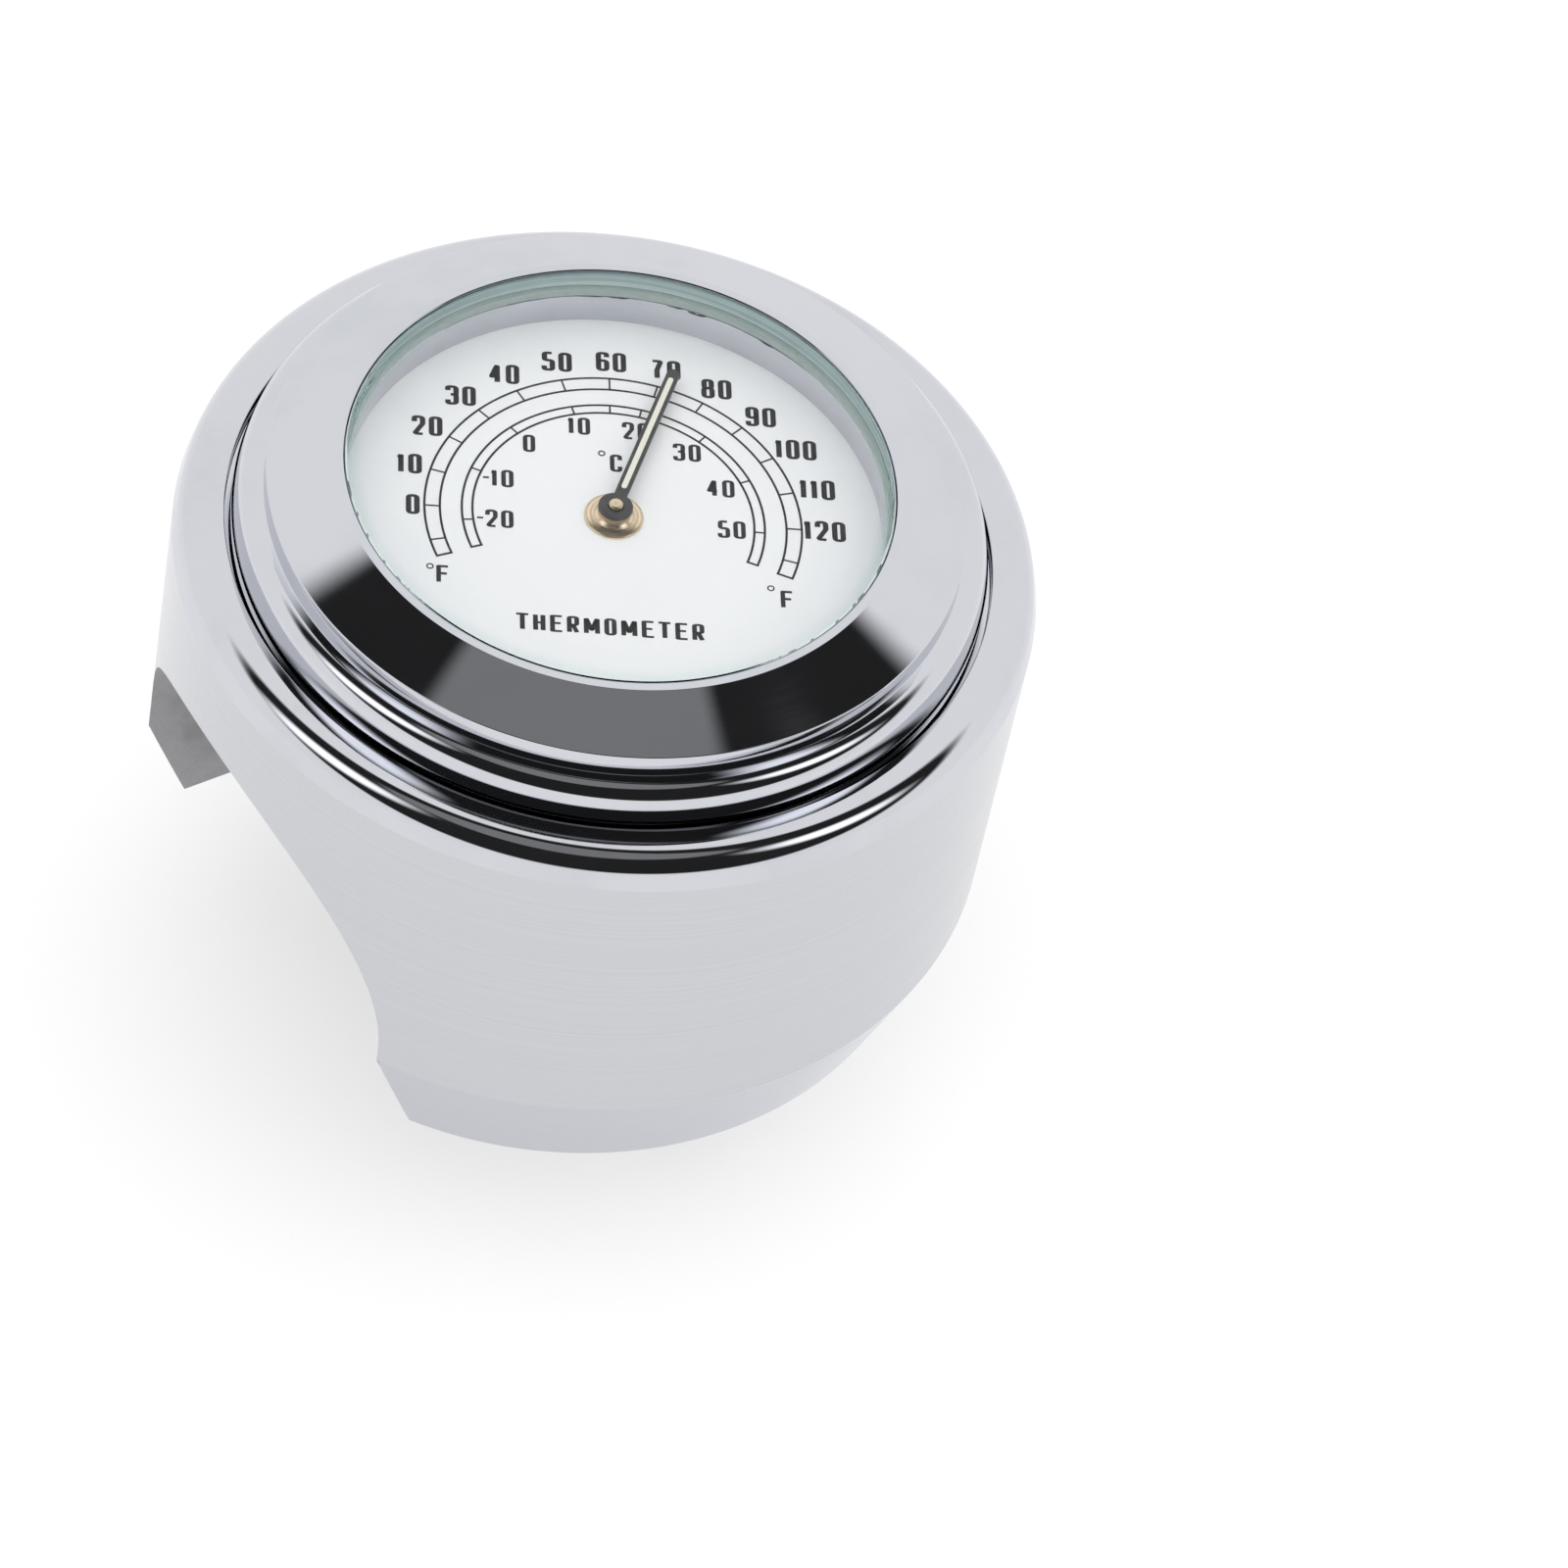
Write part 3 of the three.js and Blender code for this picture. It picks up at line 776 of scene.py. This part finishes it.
class Print:
    """Collects ribbons drawn in the dial's own upright frame, with x to the right and y up."""

    def __init__(self):
        self.points = []
        self.faces = []

    def ribbon(self, path, across, along, closed=False):
        path = [Vector(p) for p in path]
        count = len(path)
        sides = []
        for i, here in enumerate(path):
            before = path[i - 1] if closed or i else here
            after = path[(i + 1) % count] if closed or i < count - 1 else here
            way = (after - before).normalized()
            off = Vector((-way.y * across, way.x * along))
            sides.append((here + off, here - off))
        start = len(self.points)
        for level in (INK_LOW, INK_HIGH):
            for left, right in sides:
                for p in (left, right):
                    flat = DIAL_RIGHT * p.x + DIAL_NORTH * p.y
                    self.points.append((flat.x, flat.y, level))
        up = 2 * count
        for i in range(count if closed else count - 1):
            n = (i + 1) % count
            a, b, c, d = start + 2 * i, start + 2 * i + 1, start + 2 * n + 1, start + 2 * n
            self.faces += [[a, d, c, b], [a + up, b + up, c + up, d + up]]
            self.faces += [[a, a + up, d + up, d], [b, c, c + up, b + up]]
        if not closed:
            for i, flip in ((0, False), (count - 1, True)):
                a, b = start + 2 * i, start + 2 * i + 1
                face = [a, b, b + up, a + up]
                self.faces.append(face[::-1] if flip else face)


def on_circle(radius, degrees):
    """A point that many degrees clockwise of twelve o'clock."""
    a = math.radians(degrees)
    return radius * math.sin(a), radius * math.cos(a)


# %% [markdown]
# Figures and letters are bent lines in a box from 0 to 1 each way. Each entry is a list of
# strokes: the points, how round the corners are as a share of the letter's width, and whether
# the stroke closes on itself. A bar that ends in the open runs a little past the box, because
# the box is drawn through the middle of the upright strokes.

# %% The alphabet
LOOP = [(0, 0), (1, 0), (1, 1), (0, 1)]
LETTERS = {
    "0": [(LOOP, 0.5, True)],
    "1": [([(0.02, 0.80), (0.5, 1.0), (0.5, 0)], 0.05, False)],
    "2": [([(0, 0.72), (0, 1), (1, 1), (1, 0.6), (0, 0), (1, 0)], 0.42, False)],
    "3": [([(0, 0.78), (0, 1), (1, 1), (1, 0.54), (0.35, 0.54)], 0.42, False),
          ([(0.35, 0.54), (1, 0.54), (1, 0), (0, 0), (0, 0.22)], 0.42, False)],
    "4": [([(0.7, 0), (0.7, 1), (0, 0.3), (1.05, 0.3)], 0.02, False)],
    "5": [([(0.95, 1), (0.05, 1), (0.05, 0.56), (1, 0.56), (1, 0), (0, 0), (0, 0.22)], 0.34, False)],
    "6": [([(0, 0), (1, 0), (1, 0.56), (0, 0.56)], 0.42, True),
          ([(0, 0.3), (0, 1), (1, 1), (1, 0.78)], 0.42, False)],
    "7": [([(0, 1), (1, 1), (0.5, 0.45), (0.5, 0)], 0.2, False)],
    "8": [([(0, 0), (1, 0), (1, 0.53), (0, 0.53)], 0.42, True),
          ([(0.06, 0.53), (0.94, 0.53), (0.94, 1), (0.06, 1)], 0.42, True)],
    "9": [([(0, 0.44), (1, 0.44), (1, 1), (0, 1)], 0.42, True),
          ([(1, 0.7), (1, 0), (0, 0), (0, 0.22)], 0.42, False)],
    "C": [([(1, 0.72), (1, 1), (0, 1), (0, 0), (1, 0), (1, 0.28)], 0.45, False)],
    "F": [([(0, 0), (0, 1), (1.2, 1)], 0.02, False), ([(0, 0.54), (1.05, 0.54)], 0.0, False)],
    "T": [([(-0.3, 1), (1.3, 1)], 0.0, False), ([(0.5, 1), (0.5, 0)], 0.0, False)],
    "H": [([(0, 0), (0, 1)], 0.0, False), ([(1, 0), (1, 1)], 0.0, False),
          ([(0, 0.5), (1, 0.5)], 0.0, False)],
    "E": [([(1.28, 1), (0, 1), (0, 0), (1.28, 0)], 0.04, False), ([(0, 0.53), (1.1, 0.53)], 0.0, False)],
    "R": [([(0, 0), (0, 1), (1, 1), (1, 0.48), (0, 0.48)], 0.3, False),
          ([(0.5, 0.48), (1.0, 0)], 0.0, False)],
    "M": [([(0, 0), (0, 1), (0.5, 0.2), (1, 1), (1, 0)], 0.03, False)],
    "O": [(LOOP, 0.5, True)],
}
NARROW = {"1": 0.55, "M": 1.3}


def word_width(word, size):
    return sum(size["width"] * NARROW.get(c, 1.0) + size["gap"] for c in word) - size["gap"]


def write(ink, word, centre, size):
    """Writes a word about its centre. size gives height, width, gap and the pen's two half widths."""
    across, along = size["pen"]
    x = centre[0] - word_width(word, size) / 2
    low = centre[1] - size["height"] / 2 + along
    tall = size["height"] - 2 * along
    for letter in word:
        wide = size["width"] * NARROW.get(letter, 1.0)
        for points, bend, closed in LETTERS[letter]:
            inner = wide - 2 * across
            path = [(x + across + px * inner, low + py * tall) for px, py in points]
            path = softened(path, max(bend * inner, 0.02), closed, steps=5, least=5)
            ink.ribbon(path, across, along, closed)
        x += wide + size["gap"]


def degree_sign(ink, centre, radius=0.15, pen=0.035):
    turns = np.linspace(0, 2 * math.pi, 25)[:-1]
    ring = [(centre[0] + radius * math.cos(a), centre[1] + radius * math.sin(a)) for a in turns]
    ink.ribbon(ring, pen, pen, closed=True)


# %% [markdown]
# The Fahrenheit scale sets the dial: 60 degrees stands at twelve o'clock and each degree turns
# the pointer by a degree and a half. The Celsius scale shares the pointer, so its marks stand at
# the same temperatures. Each figure has its own distance from the centre, because a printer
# spaces figures by eye: a narrow one sits closer to its band than a wide one.

# %% The scales
DEGREES_PER_FAHRENHEIT = 1.5
FAHRENHEIT_BAND = (8.57, 9.33)
CELSIUS_BAND = (6.97, 7.49)
BAND_END = 110.6
LINE = 0.057
TICK = 0.045
FIGURE = {"height": 1.3, "width": 0.68, "gap": 0.17, "pen": (0.135, 0.08)}
SMALL_FIGURE = {"height": 1.14, "width": 0.61, "gap": 0.17, "pen": (0.113, 0.068)}
MINUS_NEAR, MINUS_FAR, MINUS_PEN = 0.1, 0.4, 0.055
WORD = {"height": 1.08, "width": 0.6, "gap": 0.222, "pen": (0.118, 0.06)}
FAHRENHEIT_FIGURES = {0: 9.9, 10: 10.4, 60: 10.48, 100: 10.68, 110: 10.58, 120: 10.48}
CELSIUS_FIGURES = {-20: 5.68, -10: 5.86, 0: 6.14, 10: 6.18, 20: 6.0, 30: 5.98, 40: 5.88, 50: 5.84}


def turn_of(fahrenheit):
    return (fahrenheit - 60) * DEGREES_PER_FAHRENHEIT


def band(ink, radii, end, ticks):
    for radius in radii:
        ink.ribbon([on_circle(radius, a) for a in np.linspace(-end, end, 121)], LINE, LINE)
    for turn in ticks:
        ink.ribbon([on_circle(r, turn) for r in radii], TICK, TICK)
    for turn in (-end, end):
        reach = (radii[0] - LINE, radii[1] + LINE)
        ink.ribbon([on_circle(r, turn) for r in reach], LINE, LINE)


def figure(ink, value, turn, radius, size):
    """Writes a figure about a point on its circle. A minus sign hangs outside the figure's own width."""
    x, y = on_circle(radius, turn)
    write(ink, str(abs(value)), (x, y), size)
    if value < 0:
        left = x - word_width(str(abs(value)), size) / 2
        ink.ribbon([(left - MINUS_FAR, y), (left - MINUS_NEAR, y)], MINUS_PEN, MINUS_PEN)


def dial_print():
    ink = Print()
    band(ink, FAHRENHEIT_BAND, BAND_END, [turn_of(t) for t in range(0, 121, 10)] + [-104, 104])
    celsius = [*range(-20, 51, 10), 15.5]
    band(ink, CELSIUS_BAND, BAND_END - 0.6, [turn_of(t * 9 / 5 + 32) for t in celsius])
    for t in range(0, 121, 10):
        nudge = 0.6 if 50 <= t <= 90 else 0
        figure(ink, t, turn_of(t) + nudge, FAHRENHEIT_FIGURES.get(t, 10.58), FIGURE)
    for t, radius in CELSIUS_FIGURES.items():
        figure(ink, t, turn_of(t * 9 / 5 + 32), radius, SMALL_FIGURE)
    for letter, place_of, ring in (("C", (0.2, 3.62), (-0.5, 4.22)), ("F", (-8.47, -4.45), (-9.08, -3.98)),
                                   ("F", (8.4, -4.68), (7.64, -4.0))):
        write(ink, letter, place_of, SMALL_FIGURE)
        degree_sign(ink, ring)
    write(ink, "THERMOMETER", (-0.33, -7.18), WORD)
    return mesh_object("dial_print", ink.points, ink.faces)


place(coat(dial_print(), INK), "insert", "dial_white")

# %% [markdown]
# ## Centre of the dial
# A brass bushing is riveted in the plate, the brass arbor turns in it, and the pointer is pressed
# on the arbor's end. The pointer is a flat stamping with a round hub, painted dark, with a pale
# strip laid along it.

# %% Bushing and arbor
def dial_bushing():
    low = span("dial_bushing")[0].z
    outline = [
        [0.4, low],
        [0.95, low],
        [0.95, DIAL + 0.001],
        [1.47, DIAL + 0.001],
        [1.47, DIAL + 0.12],
        [1.38, DIAL + 0.16],
        [1.02, DIAL + 0.2],
        [0.86, DIAL + 0.3],
        [0.78, DIAL + 0.34],
        [0.78, DIAL + 0.58],
        [0.4, DIAL + 0.58],
    ]
    return turned("brass_bushing", softened(outline, 0.04), sides=96)


def arbor():
    low, high = span("arbor")
    outline = [[0, low.z], [0.36, low.z], [0.36, high.z - 0.06], [0.3, high.z], [0, high.z]]
    return turned("brass_arbor", softened(outline, 0.05, closed=False), closed=False, sides=64)


place(coat(smooth(dial_bushing()), BRASS), "insert", "brass", ["dial_bushing"])
place(coat(smooth(arbor()), BRASS), "pointer", "brass", ["arbor"])

# %% Pointer and inlay
pointer_low, pointer_high = span("pointer")
POINTER_WAY = math.radians(42.05)
POINTER_REACH = 10.0
POINTER_HALF = 0.33
POINTER_HOLE = 0.38
HUB = 0.86
INLAY_HALF = 0.14
INLAY_START, INLAY_END = 1.25, 9.35


def toward_reading(points):
    c, s = math.cos(POINTER_WAY), math.sin(POINTER_WAY)
    return [(x * c - y * s, x * s + y * c) for x, y in points]


def pointer():
    root = math.degrees(math.asin(POINTER_HALF / HUB))
    outline = arc(0, 0, HUB, root, 360 - root, 60)
    outline += arc(POINTER_REACH - POINTER_HALF, 0, POINTER_HALF, -90, 90, 16)
    made = prism("pointer_blade", toward_reading(outline), pointer_low.z, pointer_high.z)
    under, over = pointer_low.z - 1, pointer_high.z + 1
    hole = [[0, under], [POINTER_HOLE, under], [POINTER_HOLE, over], [0, over]]
    return break_edges(cut(made, turned("hole_tool", hole, closed=False, sides=48)), 0.03)


def inlay():
    low, high = span("pointer_inlay")
    outline = arc(INLAY_START + INLAY_HALF, 0, INLAY_HALF, 90, 270, 10)
    outline += arc(INLAY_END - INLAY_HALF, 0, INLAY_HALF, -90, 90, 10)
    made = prism("pale_inlay", toward_reading(outline), low.z - 0.01, high.z - 0.01)
    return break_edges(made, 0.02)


place(coat(smooth(pointer()), POINTER_PAINT), "pointer", "pointer_black", ["pointer"])
place(coat(smooth(inlay()), INLAY_PAINT), "pointer", "inlay_cream", ["pointer_inlay"])

# %% [markdown]
# ## The movement behind the dial
# Nothing of it shows, but a stranger may take the insert apart. The coil is wound again with
# many more points; the collar, post, bracket, cup and rear bushing keep their plain solids and
# only get their metals.

# %% Coil and the plain inner pieces
def coil():
    low, high = span("bimetal_coil")
    turns, inner, outer, strip = 4.5, 1.05, 5.9, 0.22
    share = np.linspace(0, 1, 289)
    angles = DIAL_UP + math.pi - 2 * math.pi * turns * (1 - share)
    radii = inner + (outer - strip - inner) * share
    outside = [((r + strip) * math.cos(a), (r + strip) * math.sin(a)) for r, a in zip(radii, angles)]
    inside = [(r * math.cos(a), r * math.sin(a)) for r, a in zip(radii, angles)]
    return prism("wound_coil", outside + inside[::-1], low.z, high.z)


def coil_faces_as_quads(obj):
    """The two flat sides of the coil are one winding face each, so they are split into strips."""
    count = len(obj.data.vertices) // 4
    points = [v.co / MM for v in obj.data.vertices]
    both = 2 * count
    faces = []
    for i in range(count - 1):
        a, b, c, d = i, i + 1, both - 2 - i, both - 1 - i
        faces += [[d, c, b, a], [a + both, b + both, c + both, d + both]]
        faces += [[a, b, b + both, a + both], [c, d, d + both, c + both]]
    for a, d in ((0, both - 1), (count - 1, count)):
        faces.append([a, a + both, d + both, d] if a == 0 else [d, d + both, a + both, a])
    name = obj.name
    bpy.data.objects.remove(obj)
    return mesh_object(name + "_strip", points, faces)


place(coat(coil_faces_as_quads(coil()), BIMETAL), "insert", "bimetal", ["bimetal_coil"])
for name, material in (("coil_collar", BRASS), ("rear_bushing", BRASS), ("coil_post", STEEL),
                       ("coil_bracket", STEEL), ("capsule_cup", STEEL)):
    coat(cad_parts[name], material)
    print(name, "keeps its solid in", material.name)

# %% [markdown]
# ## Rubber
# A ring in the bezel's groove holds the insert by friction, and two ribbed strips lie between
# the clamp and the bar. The ribs are in the mesh: low waves that run along the bar.

# %% Seal ring and liners
def seal_ring():
    low, high = span("insert_seal")
    inner = SKIRT - 0.57
    half_wide = (high.x - inner) / 2
    half_high = (high.z - low.z) / 2
    middle = (low.z + high.z) / 2
    outline = [[inner + half_wide * (1 + x), middle + half_high * y] for x, y in arc(0, 0, 1, 0, 345, 23)]
    return turned("seal_ring", outline, sides=180)


def ribbed_liner(name, node_name, middle, spread, ribs):
    low, high = span(node_name)
    outer = arc(0, BAR, SADDLE_RADIUS - 0.05, middle - spread, middle + spread, 60)
    steps = ribs * 10
    inner = []
    for k in range(steps + 1):
        a = math.radians(middle + spread - 2 * spread * k / steps)
        r = SADDLE_RADIUS - 0.8 + 0.13 * (0.5 - 0.5 * math.cos(2 * math.pi * k / 10))
        inner.append([r * math.cos(a), BAR + r * math.sin(a)])
    made = prism(name, outer + inner, low.x, high.x, along="x")
    return break_edges(made, 0.08, angle=60)


place(coat(smooth(seal_ring()), RUBBER), "insert", "black_rubber", ["insert_seal"])
place(coat(smooth(ribbed_liner("ribbed_saddle_liner", "saddle_liner", 90, 75, 18)), RUBBER),
      "housing", "black_rubber", ["saddle_liner"])
place(coat(smooth(ribbed_liner("ribbed_jaw_liner", "jaw_liner", 270, 48, 12)), RUBBER),
      "clamp", "black_rubber", ["jaw_liner"])

# %% [markdown]
# ## The clamp
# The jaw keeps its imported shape, but a machined part has broken edges, so a copy of it gets a
# small bevel. The screws are turned again with more sides and their sockets are cut out.

# %% Jaw and screws
def fine_copy(node_name, name, width):
    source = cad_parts[node_name]
    mesh = source.data.copy()
    mesh.name = name
    made = bpy.data.objects.new(name, mesh)
    bpy.context.scene.collection.objects.link(made)
    weld = made.modifiers.new("weld", "WELD")
    weld.merge_threshold = 0.002 * MM
    flat = made.modifiers.new("flat faces", "DECIMATE")
    flat.decimate_type = "DISSOLVE"
    flat.angle_limit = math.radians(1)
    settle(made)
    return break_edges(made, width, angle=35)


SCREW_HEAD = 2.35
THREAD_CREST, THREAD_ROOT, THREAD_PITCH = 1.25, 1.02, 0.45
SOCKET_CORNER = 0.87


def screw(name, node_name):
    low, high = span(node_name)
    middle = (low + high) / 2
    outline = [
        [0, low.z],
        [SCREW_HEAD, low.z],
        [SCREW_HEAD, low.z + 0.2],
        [THREAD_CREST, low.z + 1.3],
    ]
    z = low.z + 2.2
    while z < high.z - 0.9:
        outline += [[THREAD_CREST, z], [THREAD_ROOT, z + THREAD_PITCH / 2]]
        z += THREAD_PITCH
    outline += [[THREAD_CREST, z], [0.85, high.z], [0, high.z]]
    outline = softened(outline, 0.03, closed=False)
    made = turned(name, outline, closed=False, sides=72, centre=(middle.x, middle.y))
    corners = [[middle.x + x, middle.y + y] for x, y in arc(0, 0, SOCKET_CORNER, 0, 300, 5)]
    return cut(made, prism("socket_tool", corners, low.z - 1, low.z + 1))


jaw = fine_copy("clamp_jaw", "machined_jaw", 0.15)
place(coat(smooth(jaw), CHAMFER), "clamp", "plated_housing", ["clamp_jaw"])
for body, node_name in (("screw_near", SCREWS[0]), ("screw_far", SCREWS[1])):
    place(coat(smooth(screw("socket_" + body, node_name)), STEEL), body, "steel", [node_name])

# %% [markdown]
# ## Studio
# The piece stands on a plain pale sheet in even white light. The camera looks down on it from
# the side that shows both the dial and the saddle cut.

# %% Camera
HEADING = math.radians(-40.93)
LOOK_DOWN = math.radians(49.0)
ROLL = math.radians(-12.4)
CAMERA_RIGHT, CAMERA_BACK, CAMERA_UP = 10.98, 230.05, 274.04
SENSOR = 36.0
FOCAL = 158.0
side = Vector((math.cos(HEADING), math.sin(HEADING), 0))
ahead = Vector((-math.sin(HEADING), math.cos(HEADING), 0))
look = ahead * math.cos(LOOK_DOWN) - Vector((0, 0, math.sin(LOOK_DOWN)))
down = look.cross(side)
across = side * math.cos(ROLL) + down * math.sin(ROLL)
below = down * math.cos(ROLL) - side * math.sin(ROLL)

camera_data = bpy.data.cameras.new("camera")
camera_data.lens = FOCAL
camera_data.sensor_width = SENSOR
camera_data.clip_start = 0.01
camera_data.clip_end = 20.0
camera = bpy.data.objects.new("camera", camera_data)
spot = side * CAMERA_RIGHT - ahead * CAMERA_BACK + Vector((0, 0, CAMERA_UP + FOOT))
turn = Matrix((across, -below, -look)).transposed().to_4x4()
camera.matrix_world = Matrix.Translation(spot * MM) @ turn
bpy.context.scene.collection.objects.link(camera)
bpy.context.scene.camera = camera
bpy.context.scene.view_settings.view_transform = "Standard"
print("camera at", [round(v, 4) for v in camera.matrix_world.translation])

# %% Floor
FLOOR_HALF = 4000


def floor():
    low, high = -FLOOR_HALF, FLOOR_HALF
    corners = [(low, low, 0), (high, low, 0), (high, high, 0), (low, high, 0)]
    made = mesh_object("floor", corners, [[0, 1, 2, 3]])
    sheet = Finish("pale_sheet", (0.34, 0.34, 0.34), Roughness=0.9, Emission_Color=(1, 1, 1, 1),
                   Emission_Strength=0.52)
    tooth = sheet.use(GRAIN, Grains_per_metre=1500.0, Low=0.85, High=0.95)
    sheet.feed("Roughness", tooth["Value"])
    return coat(made, sheet.material)


floor()

# %% [markdown]
# The light is one even white sky, and matt surfaces are lit by nothing else. Polished metal shows
# what stands round it, and in an all-white room its form would vanish. So, as in any studio for
# shiny things, one dark card hangs over the camera's side and a grey card straight overhead, and
# a soft lamp stands at each side. Only reflected rays see these four, which is mostly metal. The
# lamps are round and soft, because a hard one would read as a scratch on the rounds.

# %% Small steps for the sky
def blend(tree, mask, low, high):
    """Goes from one value to another by a mask. Either value may be a number or an output."""
    made = tree.nodes.new("ShaderNodeMix")
    made.data_type = "FLOAT"
    for label, value in (("Factor", mask), ("A", low), ("B", high)):
        if isinstance(value, (int, float)):
            made.inputs[label].default_value = value
        else:
            tree.links.new(value, made.inputs[label])
    return made.outputs["Result"]


def toward(to_right, height):
    """A direction, from degrees to the right of the camera's side and degrees above the floor."""
    turn, rise = math.radians(to_right), math.radians(height)
    level = -ahead * math.cos(turn) + side * math.sin(turn)
    return level * math.cos(rise) + Vector((0, 0, math.sin(rise)))


def disc(tree, way, centre, reach, softness):
    """One inside a round patch of sky and nought outside it, with a soft edge, in degrees."""
    made = tree.nodes.new("ShaderNodeVectorMath")
    made.operation = "DOT_PRODUCT"
    made.inputs[1].default_value = centre
    tree.links.new(way, made.inputs[0])
    away = maths(tree, "DEGREES", maths(tree, "ARCCOSINE", made.outputs["Value"]))
    return ramp_range(tree, away, reach - softness, reach + softness, 1.0, 0.0)


# %% The sky
SKY = 1.74
SKY_MIRRORED = 1.02
DARK_CARD = (toward(16, 65), 57, 3, 0.02)
GREY_CARD = (toward(0, 90), 17, 1.5, 0.25)
LEFT_LAMP = (toward(-70, 54), 13, 7, 1.8)
RIGHT_LAMP = (toward(90, 54), 11, 6, 1.8)


def sky():
    world = bpy.data.worlds.new("studio")
    bpy.context.scene.world = world
    world.use_nodes = True
    tree = world.node_tree
    tree.nodes.clear()
    way = node(tree, "TexCoord").outputs["Generated"]
    tone = SKY_MIRRORED
    for centre, reach, softness, level in (DARK_CARD, GREY_CARD, LEFT_LAMP, RIGHT_LAMP):
        tone = blend(tree, disc(tree, way, centre, reach, softness), tone, level)
    path = node(tree, "LightPath").outputs
    from_metal = maths(tree, "MINIMUM", path["Glossy Depth"], 1.0)
    mirrored = maths(tree, "MULTIPLY", from_metal, maths(tree, "LESS_THAN", path["Diffuse Depth"], 0.5))
    light = tree.nodes.new("ShaderNodeBackground")
    light.inputs["Color"].default_value = (1, 1, 1, 1)
    tree.links.new(blend(tree, mirrored, SKY, tone), light.inputs["Strength"])
    out = tree.nodes.new("ShaderNodeOutputWorld")
    tree.links.new(light.outputs[0], out.inputs["Surface"])


sky()
print("studio: white sky, dark card, grey card and two soft lamps")
